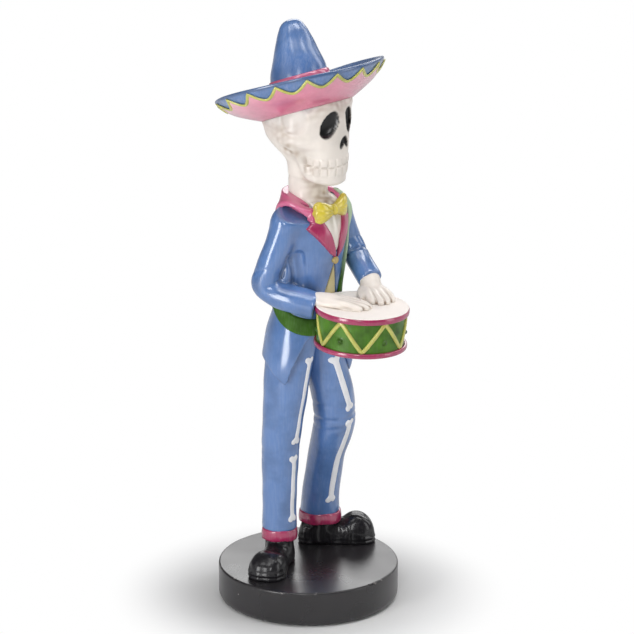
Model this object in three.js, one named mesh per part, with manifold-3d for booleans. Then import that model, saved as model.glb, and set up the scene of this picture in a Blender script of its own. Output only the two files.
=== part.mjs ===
import * as THREE from "three";
import { mergeVertices } from "three/addons/utils/BufferGeometryUtils.js";
import Module from "manifold-3d";

const wasm = await Module();
wasm.setup();

// Sizes in millimetres, +Z up, the figure faces -Y and its left hand is on +X
// Clearance left between two pieces that are glued or pinned together
const GAP = 0.3;
// Reach of a cutting shape that passes clear of the figure
const FAR = 60;
const HIGH = 240;

// Base
const BASE_RADIUS = 35.5;
const BASE_HEIGHT = 14.5;
const BASE_TOP_EDGE = 0.9;
const BASE_FOOT_ROUND = 3.6;
const FELT_THICKNESS = 1.0;
const FELT_MARGIN = 1.2;
const BASE_SIDES = 32;
const FOOT_STEPS = 2;

// Steel rods that join the base, the shoes and the legs
const ROD_RADIUS = 1.5;
const ROD_IN_BASE = 9.0;
const ROD_IN_LEG = 9.0;
const PIN_RADIUS = 1.6;

// Shoes
const SOLE_THICKNESS = 3.2;
const RIGHT_SHOE_WIDTH = 1.0;
const RIGHT_SHOE_LENGTH = 1.0;
const LEFT_SHOE_WIDTH = 0.9;
const LEFT_SHOE_LENGTH = 0.97;
const ANKLE_RADIUS = 4.6;
const RIGHT_ANKLE = [-8.9, 7.4];
const LEFT_ANKLE = [18.4, 9.5];
const RIGHT_TOE_TURN = 113;
const LEFT_TOE_TURN = -135.7;
const ANKLE_SIDES = 12;
const UPPER_SIDES = 8;
const INSOLE_DROP = 1.0;

// Trousers
const HEM_HEIGHT = 4.4;
const HEM_FLARE = 0.5;
const RIGHT_HEM_TOP = 15.0;
const LEFT_HEM_TOP = 13.8;
const LEG_SIDES = 12;
const CROTCH_HEIGHT = 103.5;
const BONE_WIDTH = 2.3;
const BONE_KNOB = 1.75;
const BONE_SINK = 0.6;
const BONE_RISE = 0.35;

// Coat and its trim
const LAPEL_THICKNESS = 1.0;
const STRAP_THICKNESS = 1.2;
const STRAP_WIDTH = 4.0;
const SLING_WIDTH = 6.4;
const HIP_BAND_ABOVE = 7.0;
const HIP_BAND_BELOW = 2.8;
const SHIRT_DEPTH = 1.2;
const SHOULDER_RADIUS = 6.0;
const COAT_SIDES = 14;
const WAIST_HEIGHT = 105.0;
const COLLAR_HEIGHT = 153.5;
const COLLAR_REACH = 13.4;
const COLLAR_STAND = 4.0;
const COLLAR_SLOPE = 21.3;
const COLLAR_DIP = 0.5;
const COAT_NECK_DIP = 2.7;
const COLLAR_EXTRA = 0.3;
const COLLAR_STAND_WALL = 1.6;
const STRAP_SIDE = 9.4;
const TAIL_HEM_SLOPE = 23.9;
const BUTTON_RADIUS = 1.7;
const BUTTON_HEIGHT = 1.2;
const KNOT_WIDTH = 3.4;
const BOW_FRONT = -12.6;

// Neck and head
const NECK_RADIUS = 7.3;
const NECK_SOCKET = 8.0;
const NECK_IN_SKULL = 7.4;
const NECK_BACK = 0.1;
const NECK_SIDES = 16;
const NECK_PIN_LENGTH = 38.0;
const NECK_PIN_DEPTH = 8.0;
const NECK_RINGS = 2;
const NECK_RING_PITCH = 3.2;
const NECK_RING_DEPTH = 0.35;
const MOUTH_RISE = 14.1;
const TOOTH_WIDTH = 2.9;
const TOOTH_HEIGHT = 3.4;
const TEETH_PER_ROW = 6;
const TOOTH_PITCH = 22;

// Hat
const BRIM_RADIUS = 33.7;
const BRIM_TILT = 23.4;
const BRIM_LEAN = 3.6;
const BRIM_WARP = 1.1;
const BRIM_WARP_TURN = 220;
const HAT_RISE = 30.2;
const HAT_BACK = 4.4;
const CROWN_HEIGHT = 23.4;
const CROWN_RADIUS = 11.5;
const CROWN_LEAN = 0.135;
const CROWN_PEG_RADIUS = 3.0;
const CROWN_PEG_LENGTH = 5.0;
const PEG_SIDES = 12;
const CROWN_SIDES = 18;
const BAND_HEIGHT = 4.0;
const BAND_THICKNESS = 0.7;
const LINING_THICKNESS = 0.8;
const SCALLOPS = 17;
const SCALLOP_START = 217;
const BRIM_CORD_RADIUS = 0.6;
const BRIM_SIDES = 28;
const LINING_GAP = 0.45;
const SCALLOP_STEPS = 2;
const SCALLOP_HIGH = 0.93;
const SCALLOP_LOW = 0.74;

// Drum
const DRUM_RADIUS = 17.0;
const DRUM_HEIGHT = 14.6;
const DRUM_TILT = 3.0;
const DRUM_DROP = 55.0;
const DRUM_HEAD_THICKNESS = 0.6;
const HOOP_THICKNESS = 1.2;
const HOOP_HEIGHT = 2.0;
const LACE_RADIUS = 0.6;
const LACE_TURNS = 6;
const STUD_RADIUS = 0.9;
const DRUM_PIN_LENGTH = 10.0;
const DRUM_SIDES = 28;
const HOOP_LIP = 0.2;
const LACE_STEPS = 6;
const LACE_START = -140;
const STUD_HEIGHT = 0.36;

// Hands and sleeves
const WRIST_RADIUS = 2.8;
const TENON_LENGTH = 3.2;
const FINGER_LENGTHS = [14.6, 16.6, 17.0, 15.6];
const FINGER_PITCH = 2.2;
const SLEEVE_SIDES = 10;

const deg = Math.PI / 180;
const v3 = (x, y, z) => new THREE.Vector3(x, y, z);

// Surface colours and finishes
function finish(colour, roughness) {
  return new THREE.MeshStandardMaterial({ color: colour, roughness, metalness: 0 });
}
const blue_gloss = finish("#5c80bb", 0.25);
const pink_gloss = finish("#cc4f83", 0.25);
const green_gloss = finish("#4f7a2e", 0.3);
const yellow_gloss = finish("#ddc944", 0.3);
const bone_gloss = finish("#e8e0d6", 0.35);
const cream_gloss = finish("#dcd6c6", 0.4);
const black_gloss = finish("#1c1a1d", 0.2);
const black_satin = finish("#3c3a3a", 0.4);
const felt_black = finish("#2a2a2a", 0.95);
const gold_paint = finish("#c79a42", 0.35);
const steel = new THREE.MeshStandardMaterial({ color: "#9a9ca0", roughness: 0.35, metalness: 1 });

// A closed triangle surface read as a solid for adding and cutting
function solid(geometry) {
  const plain = geometry.clone();
  plain.deleteAttribute("normal");
  plain.deleteAttribute("uv");
  const welded = mergeVertices(plain, 1e-4);
  const mesh = new wasm.Mesh({
    numProp: 3,
    vertProperties: new Float32Array(welded.attributes.position.array),
    triVerts: new Uint32Array(welded.index.array),
  });
  return new wasm.Manifold(mesh);
}

function surface(body) {
  const mesh = body.getMesh();
  const geometry = new THREE.BufferGeometry();
  geometry.setAttribute("position", new THREE.BufferAttribute(new Float32Array(mesh.vertProperties), 3));
  geometry.setIndex(new THREE.BufferAttribute(new Uint32Array(mesh.triVerts), 1));
  geometry.computeVertexNormals();
  return geometry;
}

function joined(bodies) {
  return bodies.reduce((sum, body) => sum.add(body));
}

// The largest body of a cut, without loose slivers
function main_body(body) {
  const parts = body.decompose();
  return parts.reduce((best, part) => (part.volume() > best.volume() ? part : best));
}

// A closed skin over a stack of rings with equal point counts
function loft(rings) {
  const count = rings[0].length;
  const points = [];
  for (const ring of rings) {
    for (const p of ring) points.push(p.x, p.y, p.z);
  }
  const faces = [];
  for (let i = 0; i + 1 < rings.length; i += 1) {
    for (let j = 0; j < count; j += 1) {
      const k = (j + 1) % count;
      const low = i * count;
      const high = low + count;
      faces.push(low + j, low + k, high + k, low + j, high + k, high + j);
    }
  }
  const ends = [[0, true], [rings.length - 1, false]];
  for (const [row, first] of ends) {
    const middle = rings[row].reduce((sum, p) => sum.add(p), v3(0, 0, 0)).divideScalar(count);
    const hub = points.length / 3;
    points.push(middle.x, middle.y, middle.z);
    for (let j = 0; j < count; j += 1) {
      const a = row * count + j;
      const b = row * count + ((j + 1) % count);
      if (first) faces.push(hub, b, a);
      else faces.push(hub, a, b);
    }
  }
  const geometry = new THREE.BufferGeometry();
  geometry.setAttribute("position", new THREE.BufferAttribute(new Float32Array(points), 3));
  geometry.setIndex(faces);
  return geometry;
}

// A level ring: a rounded rectangle when power is above two
function level_ring(x, y, z, rx, ry, sides, power = 2) {
  const ring = [];
  for (let i = 0; i < sides; i += 1) {
    const angle = (i / sides) * 2 * Math.PI;
    const c = Math.cos(angle);
    const s = Math.sin(angle);
    const px = Math.sign(c) * Math.abs(c) ** (2 / power);
    const py = Math.sign(s) * Math.abs(s) ** (2 / power);
    ring.push(v3(x + rx * px, y + ry * py, z));
  }
  return ring;
}

// Stations of x, y, z, rx, ry read as a loft, grown outwards by a margin
function station_loft(stations, sides, grow = 0, power = 2) {
  const last = stations.length - 1;
  const rings = stations.map(([x, y, z, rx, ry], i) => {
    const lift = i === 0 ? -grow : i === last ? grow : 0;
    return level_ring(x, y, z + lift, rx + grow, ry + grow, sides, power);
  });
  return loft(rings);
}

// A round limb along a smooth path, with a radius at each point
function limb(path, sides, steps, grow = 0) {
  const curve = new THREE.CatmullRomCurve3(path.map((p) => v3(p[0], p[1], p[2])), false, "centripetal");
  const radii = path.map((p) => p[3]);
  const rings = [];
  let side = null;
  for (let i = 0; i <= steps; i += 1) {
    const t = i / steps;
    const centre = curve.getPoint(t);
    const along = curve.getTangent(t);
    if (side === null) side = Math.abs(along.z) < 0.9 ? v3(0, 0, 1) : v3(1, 0, 0);
    side = side.clone().addScaledVector(along, -side.dot(along)).normalize();
    const up = along.clone().cross(side);
    const at = t * (radii.length - 1);
    const k = Math.min(Math.floor(at), radii.length - 2);
    const radius = radii[k] + (radii[k + 1] - radii[k]) * (at - k) + grow;
    const ring = [];
    for (let j = 0; j < sides; j += 1) {
      const angle = (j / sides) * 2 * Math.PI;
      const p = centre.clone();
      p.addScaledVector(side, radius * Math.cos(angle));
      p.addScaledVector(up, radius * Math.sin(angle));
      ring.push(p);
    }
    rings.push(ring);
  }
  return loft(rings);
}

// A round cord closed on itself, its points listed in order
function closed_cord(points, radius, sides, outward) {
  const count = points.length;
  const positions = [];
  const faces = [];
  points.forEach((p, i) => {
    const before = points[(i + count - 1) % count];
    const after = points[(i + 1) % count];
    const along = after.clone().sub(before).normalize();
    const out = outward(p);
    const side = out.addScaledVector(along, -out.dot(along)).normalize();
    const up = along.clone().cross(side);
    for (let j = 0; j < sides; j += 1) {
      const angle = (j / sides) * 2 * Math.PI;
      const q = p.clone();
      q.addScaledVector(side, radius * Math.cos(angle));
      q.addScaledVector(up, radius * Math.sin(angle));
      positions.push(q.x, q.y, q.z);
    }
  });
  for (let i = 0; i < count; i += 1) {
    const next = (i + 1) % count;
    for (let j = 0; j < sides; j += 1) {
      const k = (j + 1) % sides;
      const a = i * sides;
      const b = next * sides;
      faces.push(a + j, a + k, b + k, a + j, b + k, b + j);
    }
  }
  const geometry = new THREE.BufferGeometry();
  geometry.setAttribute("position", new THREE.BufferAttribute(new Float32Array(positions), 3));
  geometry.setIndex(faces);
  return geometry;
}

// A profile of radius and height turned about +Z
function turned(profile, segments) {
  const points = profile.map(([r, z]) => new THREE.Vector2(r, z));
  const geometry = new THREE.LatheGeometry(points, segments);
  geometry.rotateX(Math.PI / 2);
  return geometry;
}

function rod(radius, z0, z1, x = 0, y = 0, segments = 10) {
  const geometry = turned([[0, z0], [radius, z0], [radius, z1], [0, z1]], segments);
  geometry.translate(x, y, 0);
  return geometry;
}

function ring_wall(inner, outer, z0, z1, segments) {
  return turned([[inner, z0], [outer, z0], [outer, z1], [inner, z1], [inner, z0]], segments);
}

function ellipsoid(x, y, z, rx, ry, rz, across = 20, down = 12) {
  const geometry = new THREE.SphereGeometry(1, across, down);
  geometry.rotateX(Math.PI / 2);
  geometry.scale(rx, ry, rz);
  geometry.translate(x, y, z);
  return geometry;
}

function block(x0, x1, y0, y1, z0, z1) {
  const geometry = new THREE.BoxGeometry(x1 - x0, y1 - y0, z1 - z0);
  geometry.translate((x0 + x1) / 2, (y0 + y1) / 2, (z0 + z1) / 2);
  return geometry;
}

// A front-view outline of x and z pushed through the figure from y0 to y1
function front_cut(outline, y0, y1) {
  const shape = new THREE.Shape(outline.map(([x, z]) => new THREE.Vector2(x, z)));
  const geometry = new THREE.ExtrudeGeometry(shape, { depth: y1 - y0, bevelEnabled: false });
  geometry.rotateX(Math.PI / 2);
  geometry.translate(0, y1, 0);
  return geometry;
}

function moved(geometry, matrix) {
  const copy = geometry.clone();
  copy.applyMatrix4(matrix);
  return copy;
}

const part = new THREE.Group();
const figure = new THREE.Group();
figure.position.z = BASE_HEIGHT;
part.add(figure);

function put(group, name, shape, material) {
  const body = shape instanceof THREE.BufferGeometry ? solid(shape) : shape;
  const mesh = new THREE.Mesh(surface(main_body(body)), material);
  mesh.name = name;
  group.add(mesh);
}

// Heights from here on are measured from the top of the base
// The coat fills the way from the waist to the collar, its trim and the drum hang from the collar,
// the cuffs follow the drum and the head rises from the mouth
const chest = (share) => WAIST_HEIGHT + (COLLAR_HEIGHT - WAIST_HEIGHT) * share;
const below_collar = (drop) => COLLAR_HEIGHT - drop;
const DRUM_LOW = below_collar(DRUM_DROP);
const above_drum = (rise) => DRUM_LOW + rise;
const MOUTH_HEIGHT = COLLAR_HEIGHT + MOUTH_RISE;
const above_mouth = (rise) => MOUTH_HEIGHT + rise;
const NECK_TOP = above_mouth(NECK_IN_SKULL);
const LAPEL_TOP = below_collar(4.5);
const LAPEL_BOTTOM = below_collar(23.9);
const COLLAR_FALL_LOW = below_collar(10.5);
const BOW_HEIGHT = below_collar(4.1);

// Legs: stations of x, y, z, rx, ry from the hem to the waist
const right_leg_stations = [
  [-8.9, 7.4, RIGHT_HEM_TOP, 6.8, 6.8],
  [-8.9, 7.4, 25.3, 6.6, 6.6],
  [-8.9, 7.1, 38.8, 7.1, 7.1],
  [-8.9, 6.6, 51.6, 7.5, 7.5],
  [-8.8, 5.6, 61.0, 8.1, 8.1],
  [-8.4, 4.7, 70.0, 8.3, 8.8],
  [-7.6, 4.0, 82.5, 8.0, 10.0],
  [-6.6, 3.0, 93.0, 7.4, 10.6],
  [-5.8, 2.2, CROTCH_HEIGHT, 6.0, 9.8],
];
const left_leg_stations = [
  [18.4, 9.5, LEFT_HEM_TOP, 8.2, 7.8],
  [17.2, 8.0, 22.3, 7.6, 7.4],
  [16.2, 5.8, 31.7, 7.2, 7.2],
  [15.4, 3.9, 38.8, 7.3, 7.3],
  [14.2, 0.3, 48.0, 7.9, 7.9],
  [13.0, -2.6, 57.9, 8.4, 8.4],
  [11.4, -2.5, 68.9, 8.5, 8.6],
  [8.8, -1.2, 79.0, 8.2, 9.4],
  [6.6, 1.4, 93.0, 7.4, 10.6],
  [5.8, 2.2, CROTCH_HEIGHT, 6.0, 9.8],
];
const right_leg_shape = (grow) => solid(station_loft(right_leg_stations, LEG_SIDES, grow));
const left_leg_shape = (grow) => solid(station_loft(left_leg_stations, LEG_SIDES, grow));

// A long bone seen from the front: a shaft with two knuckles at each end
function front_disc(x, z, radius, y0, y1) {
  const geometry = new THREE.CylinderGeometry(radius, radius, y1 - y0, 8);
  geometry.translate(x, (y0 + y1) / 2, z);
  return geometry;
}

function bone_cut(x0, z0, x1, z1, margin, y0, y1) {
  const along = new THREE.Vector2(x1 - x0, z1 - z0).normalize();
  const across = new THREE.Vector2(-along.y, along.x);
  const half = BONE_WIDTH / 2 + margin;
  const corner = (x, z, a) => [x + across.x * a, z + across.y * a];
  const shaft = [
    corner(x0, z0, -half), corner(x1, z1, -half), corner(x1, z1, half), corner(x0, z0, half),
  ];
  const bodies = [solid(front_cut(shaft, y0, y1))];
  for (const [x, z] of [[x0, z0], [x1, z1]]) {
    for (const side of [1, -1]) {
      const [kx, kz] = corner(x, z, side * BONE_KNOB * 0.75);
      bodies.push(solid(front_disc(kx, kz, BONE_KNOB + margin, y0, y1)));
    }
  }
  return joined(bodies);
}

const leg_bones = [
  ["right_thigh_bone", right_leg_shape, -8.9, 53.5, -7.6, 85.5, 4.0],
  ["right_shin_bone", right_leg_shape, -9.2, 22.5, -9.0, 45.5, 6.5],
  ["left_thigh_bone", left_leg_shape, 12.4, 63.6, 7.9, 84.0, -3.0],
  ["left_shin_bone", left_leg_shape, 17.5, 20.6, 13.3, 55.6, 3.0],
];
const bone_pockets = new Map();
for (const [name, leg_shape, x0, z0, x1, z1, depth] of leg_bones) {
  const inlay = bone_cut(x0, z0, x1, z1, 0, -FAR, depth);
  const seen = inlay.intersect(leg_shape(BONE_RISE)).subtract(leg_shape(-BONE_SINK));
  put(figure, name, seen, bone_gloss);
  const pocket = bone_cut(x0, z0, x1, z1, GAP, -FAR, depth).subtract(leg_shape(-BONE_SINK - GAP));
  bone_pockets.set(name, pocket);
}

// Rod holes are one clearance wider and longer than the rods
const right_rod_top = RIGHT_HEM_TOP + ROD_IN_LEG;
const left_rod_top = LEFT_HEM_TOP + ROD_IN_LEG;
const rod_hole = ([x, y], top) => solid(rod(ROD_RADIUS + GAP, -ROD_IN_BASE - GAP, top + GAP, x, y));
const right_rod_hole = rod_hole(RIGHT_ANKLE, right_rod_top);
const left_rod_hole = rod_hole(LEFT_ANKLE, left_rod_top);
put(figure, "right_leg_rod", rod(ROD_RADIUS, -ROD_IN_BASE, right_rod_top, ...RIGHT_ANKLE), steel);
put(figure, "left_leg_rod", rod(ROD_RADIUS, -ROD_IN_BASE, left_rod_top, ...LEFT_ANKLE), steel);

// Base: a turned disc with a felt pad let into its foot
const foot_radius = BASE_RADIUS - BASE_FOOT_ROUND;
const base_profile = [[0, 0], [foot_radius, 0]];
for (let i = 1; i <= FOOT_STEPS; i += 1) {
  const angle = (i / FOOT_STEPS) * 90 * deg;
  const r = foot_radius + BASE_FOOT_ROUND * Math.sin(angle);
  base_profile.push([r, BASE_FOOT_ROUND * (1 - Math.cos(angle))]);
}
base_profile.push([BASE_RADIUS, BASE_HEIGHT - BASE_TOP_EDGE]);
base_profile.push([BASE_RADIUS - BASE_TOP_EDGE, BASE_HEIGHT]);
base_profile.push([0, BASE_HEIGHT]);
const felt_radius = foot_radius - FELT_MARGIN;
const lifted = new THREE.Matrix4().makeTranslation(0, 0, BASE_HEIGHT);
const in_base = (body) => solid(moved(surface(body), lifted));
const base_body = solid(turned(base_profile, BASE_SIDES))
  .subtract(solid(rod(felt_radius + GAP, -1, FELT_THICKNESS, 0, 0, 24)))
  .subtract(in_base(right_rod_hole))
  .subtract(in_base(left_rod_hole));
put(part, "base_disc", base_body, black_satin);
put(part, "base_felt", rod(felt_radius, 0, FELT_THICKNESS, 0, 0, 24), felt_black);

// Shoes: a welted sole, a low instep and a round toe, with an ankle inside the hem
const sole_line = [
  [0, -9.0], [3.0, -8.2], [4.8, -5.4], [5.0, 0.0], [4.9, 5.0],
  [5.6, 10.0], [6.5, 14.5], [6.3, 18.5], [4.5, 21.4], [1.8, 22.6],
];
const upper_stations = [
  [-8.0, 2.4, 3.0], [-6.8, 3.8, 5.4], [-3.0, 4.5, 6.2], [3.0, 4.6, 6.0], [7.5, 4.8, 5.6], [12.0, 5.6, 7.0],
  [16.0, 6.0, 8.4], [19.4, 5.0, 7.0], [21.6, 2.6, 3.6],
];
function shoe_placed(geometry, ankle, turn) {
  geometry.rotateZ(turn * deg);
  geometry.translate(ankle[0], ankle[1], 0);
  return solid(geometry);
}
function shoe_upper(foot, grow) {
  const rings = upper_stations.map(([y, wide, tall]) => {
    const ring = [];
    for (let i = 0; i < UPPER_SIDES; i += 1) {
      const angle = (-i / UPPER_SIDES) * 2 * Math.PI;
      const rise = (Math.sin(angle) > 0 ? tall : INSOLE_DROP) + grow;
      const x = (wide * foot.width + grow) * Math.cos(angle);
      ring.push(v3(x, y * foot.length, SOLE_THICKNESS + rise * Math.sin(angle)));
    }
    return ring;
  });
  return shoe_placed(loft(rings), foot.ankle, foot.turn);
}
function shoe(foot) {
  const shape = new THREE.Shape();
  const half = sole_line.map(([x, y]) => new THREE.Vector2(x * foot.width, y * foot.length));
  const other = half.slice(1).reverse().map((p) => new THREE.Vector2(-p.x, p.y));
  shape.setFromPoints([...half, ...other]);
  const sole = new THREE.ExtrudeGeometry(shape, { depth: SOLE_THICKNESS, bevelEnabled: false });
  const stub = rod(ANKLE_RADIUS, SOLE_THICKNESS / 2, foot.hem_top - GAP, ...foot.ankle, ANKLE_SIDES);
  const welt = shoe_placed(sole, foot.ankle, foot.turn);
  return joined([welt, shoe_upper(foot, 0), solid(stub)]).subtract(foot.hole);
}
const right_foot = {
  ankle: RIGHT_ANKLE, turn: RIGHT_TOE_TURN, width: RIGHT_SHOE_WIDTH, length: RIGHT_SHOE_LENGTH,
  hem_top: RIGHT_HEM_TOP, hole: right_rod_hole,
};
const left_foot = {
  ankle: LEFT_ANKLE, turn: LEFT_TOE_TURN, width: LEFT_SHOE_WIDTH, length: LEFT_SHOE_LENGTH,
  hem_top: LEFT_HEM_TOP, hole: left_rod_hole,
};
put(figure, "right_shoe", shoe(right_foot), black_gloss);
put(figure, "left_shoe", shoe(left_foot), black_gloss);

// Hem bands close the trouser legs round the ankles
function hem([x, y, top, radius]) {
  const low = top - HEM_HEIGHT;
  const bore = ANKLE_RADIUS + GAP;
  const outer = radius + HEM_FLARE;
  const edge = HEM_HEIGHT * 0.2;
  const profile = [
    [bore, low], [outer, low], [outer + 0.2, low + edge], [radius + 0.2, top], [bore, top], [bore, low],
  ];
  const geometry = turned(profile, LEG_SIDES);
  geometry.translate(x, y, 0);
  return geometry;
}
const right_hem_body = solid(hem(right_leg_stations[0])).subtract(shoe_upper(right_foot, GAP));
const left_hem_body = solid(hem(left_leg_stations[0])).subtract(shoe_upper(left_foot, GAP));
put(figure, "right_trouser_hem", right_hem_body, pink_gloss);
put(figure, "left_trouser_hem", left_hem_body, pink_gloss);

// Drum frame: its origin is the centre of the lower head
const drum = new THREE.Group();
drum.position.set(-2.0, -29.0, DRUM_LOW);
drum.rotation.x = -DRUM_TILT * deg;
drum.updateMatrix();
figure.add(drum);
const hoop_inner = DRUM_RADIUS + GAP;
const hoop_outer = hoop_inner + HOOP_THICKNESS;
const drum_top = DRUM_HEIGHT + DRUM_HEAD_THICKNESS;
function drum_envelope(grow) {
  const low = -DRUM_HEAD_THICKNESS - HOOP_LIP - grow;
  const high = drum_top + HOOP_LIP + grow;
  return solid(moved(rod(hoop_outer + grow, low, high, 0, 0, DRUM_SIDES), drum.matrix));
}
const drum_room = drum_envelope(GAP);

// Coat: stations of x, y, z, rx, ry from the tails to the collar
const coat_stations = [
  [0, 2.6, 68.0, 17.7, 16.3],
  [0, 2.6, 77.0, 17.7, 16.2],
  [0, 2.5, 86.0, 17.4, 15.6],
  [0, 2.2, 96.0, 16.0, 14.2],
  [0, 1.4, WAIST_HEIGHT, 14.0, 12.4],
  [0, 0.3, chest(0.186), 13.2, 11.8],
  [0, -0.8, chest(0.392), 13.6, 12.2],
  [0, -1.5, chest(0.598), 14.4, 12.6],
  [0, -1.8, chest(0.763), 14.6, 12.0],
  [0, -1.4, chest(0.866), 13.8, 10.8],
  [0, -0.6, chest(0.948), 11.6, 9.4],
  [0, 0.0, COLLAR_HEIGHT, 9.2, 8.6],
];
const right_shoulder = [-14.0, -1.2, below_collar(8.5)];
const left_shoulder = [13.2, -2.4, below_collar(9.1)];
function coat_shape(grow) {
  const trunk = solid(station_loft(coat_stations, COAT_SIDES, grow));
  const caps = [right_shoulder, left_shoulder].map(([x, y, z]) => {
    const r = SHOULDER_RADIUS + grow;
    return solid(ellipsoid(x, y, z, r, r, r, 10, 6));
  });
  return joined([trunk, ...caps]);
}
const coat_outer = coat_shape(0);

const mirrored = (outline) => outline.map(([x, z]) => [-x, z]).reverse();
const cutaway_edge = [[-3.2, below_collar(37.5)], [-6.0, 104], [-10.0, 89.5], [-13.5, 83.5], [-16.8, 76.5], [-22, 66]];
const cutaway = [[0, below_collar(25.5)], ...cutaway_edge, ...mirrored(cutaway_edge)];
const tail_hem = block(-FAR, FAR, -FAR, FAR, -FAR, 0);
tail_hem.rotateX(TAIL_HEM_SLOPE * deg);
tail_hem.translate(0, -3.1, 77.0);

// Shirt and waistcoat openings in the coat front
const shirt_line = [
  [0, below_collar(22.0)], [4.6, below_collar(14.0)], [6.6, below_collar(8.0)], [6.8, below_collar(1.5)],
  [-6.8, below_collar(1.5)], [-6.6, below_collar(8.0)], [-4.6, below_collar(14.0)],
];
const vest_line = [
  [0, below_collar(26.5)], [-2.6, below_collar(36.5)], [-4.0, below_collar(42.5)], [4.0, below_collar(42.5)],
  [2.6, below_collar(36.5)],
];
function shrunk(outline, amount) {
  const middle = outline.reduce((sum, [x, z]) => [sum[0] + x, sum[1] + z], [0, 0]);
  const cx = middle[0] / outline.length;
  const cz = middle[1] / outline.length;
  return outline.map(([x, z]) => {
    const keep = 1 - amount / Math.hypot(x - cx, z - cz);
    return [cx + (x - cx) * keep, cz + (z - cz) * keep];
  });
}
// The neck line falls to the front, so that the neck shows above the bow tie
function above_collar(dip) {
  const cut = block(-FAR, FAR, -FAR, FAR, 0, FAR);
  cut.rotateX(COLLAR_SLOPE * deg);
  cut.translate(0, 0, COLLAR_HEIGHT - dip);
  return solid(cut);
}
const coat_floor = coat_shape(-SHIRT_DEPTH - GAP);
const shirt_hollow = solid(front_cut(shirt_line, -FAR, -2)).subtract(coat_floor);
const front_opening = solid(front_cut(cutaway, -FAR, 2.6))
  .subtract(coat_floor.intersect(solid(block(-FAR, FAR, -FAR, FAR, WAIST_HEIGHT - 1, HIGH))));
const neck_bottom = COLLAR_HEIGHT - NECK_SOCKET;
const neck_hole = solid(rod(NECK_RADIUS + GAP, neck_bottom - GAP, HIGH, 0, NECK_BACK, NECK_SIDES));
const neck_pin_bottom = neck_bottom - NECK_PIN_DEPTH;
const neck_pin_top = neck_pin_bottom + NECK_PIN_LENGTH;
function neck_pin(grow) {
  return rod(PIN_RADIUS + grow, neck_pin_bottom - grow, neck_pin_top + grow, 0, NECK_BACK);
}
const neck_pin_hole = solid(neck_pin(GAP));
const drum_pin_back = -5.0;
const drum_pin_height = above_drum(8.5);
function drum_pin(grow) {
  const geometry = rod(PIN_RADIUS + grow, -grow, DRUM_PIN_LENGTH + grow);
  geometry.rotateX(Math.PI / 2);
  geometry.translate(-1.0, drum_pin_back, drum_pin_height);
  return geometry;
}
const drum_pin_hole = solid(drum_pin(GAP));
const coat_body = coat_outer
  .subtract(right_leg_shape(GAP))
  .subtract(left_leg_shape(GAP))
  .subtract(front_opening)
  .subtract(solid(tail_hem))
  .subtract(solid(block(-2, 2, -6, 12, 60, CROTCH_HEIGHT + GAP)))
  .subtract(above_collar(COAT_NECK_DIP))
  .subtract(shirt_hollow)
  .subtract(neck_hole)
  .subtract(neck_pin_hole)
  .subtract(drum_room)
  .subtract(drum_pin_hole);
put(figure, "coat_body", coat_body, blue_gloss);
put(figure, "drum_pin", drum_pin(0), steel);
put(figure, "neck_pin", neck_pin(0), steel);

// Trouser legs meet on the middle seam
const seam_right = solid(block(-GAP / 2, FAR, -FAR, FAR, 0, HIGH));
const seam_left = solid(block(-FAR, GAP / 2, -FAR, FAR, 0, HIGH));
const right_leg_body = right_leg_shape(0)
  .subtract(seam_right)
  .subtract(bone_pockets.get("right_thigh_bone"))
  .subtract(bone_pockets.get("right_shin_bone"))
  .subtract(right_rod_hole)
  .subtract(drum_room)
  .subtract(drum_pin_hole);
const left_leg_body = left_leg_shape(0)
  .subtract(seam_left)
  .subtract(bone_pockets.get("left_thigh_bone"))
  .subtract(bone_pockets.get("left_shin_bone"))
  .subtract(left_rod_hole)
  .subtract(drum_room)
  .subtract(drum_pin_hole);
put(figure, "right_trouser_leg", right_leg_body, blue_gloss);
put(figure, "left_trouser_leg", left_leg_body, blue_gloss);

// Shirt front and waistcoat point lie in their hollows
const shirt_skin = coat_shape(-GAP).subtract(coat_shape(-SHIRT_DEPTH));
const shirt_cut = solid(front_cut(shrunk(shirt_line, GAP), -FAR, -2));
const shirt_body = shirt_cut.intersect(shirt_skin).subtract(above_collar(COLLAR_DIP)).subtract(neck_hole);
put(figure, "shirt_front", shirt_body, cream_gloss);
const vest_cut = solid(front_cut(shrunk(vest_line, GAP), -FAR, -2));
const vest_body = vest_cut.intersect(shirt_skin).subtract(drum_room);
put(figure, "waistcoat_point", vest_body, cream_gloss);

// Strap: down the left chest to the drum, and round the back to the right hip
const strap_skin = coat_shape(GAP + STRAP_THICKNESS).subtract(coat_shape(GAP));
const strap_centre = [
  [12.8, below_collar(0.5)], [13.4, below_collar(7.5)], [12.4, below_collar(17.5)], [9.6, below_collar(29.5)],
  [7.4, below_collar(41.5)],
];
function strap_outline(margin) {
  const half = STRAP_WIDTH / 2 + margin;
  const outer = strap_centre.map(([x, z]) => [x + half, z]);
  const inner = strap_centre.map(([x, z]) => [x - half, z]);
  return [...inner, ...outer.reverse()];
}
const strap_front = solid(front_cut(strap_outline(0), -FAR, left_shoulder[1])).intersect(strap_skin);
put(figure, "drum_strap_front", strap_front.subtract(drum_room), green_gloss);

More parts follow.
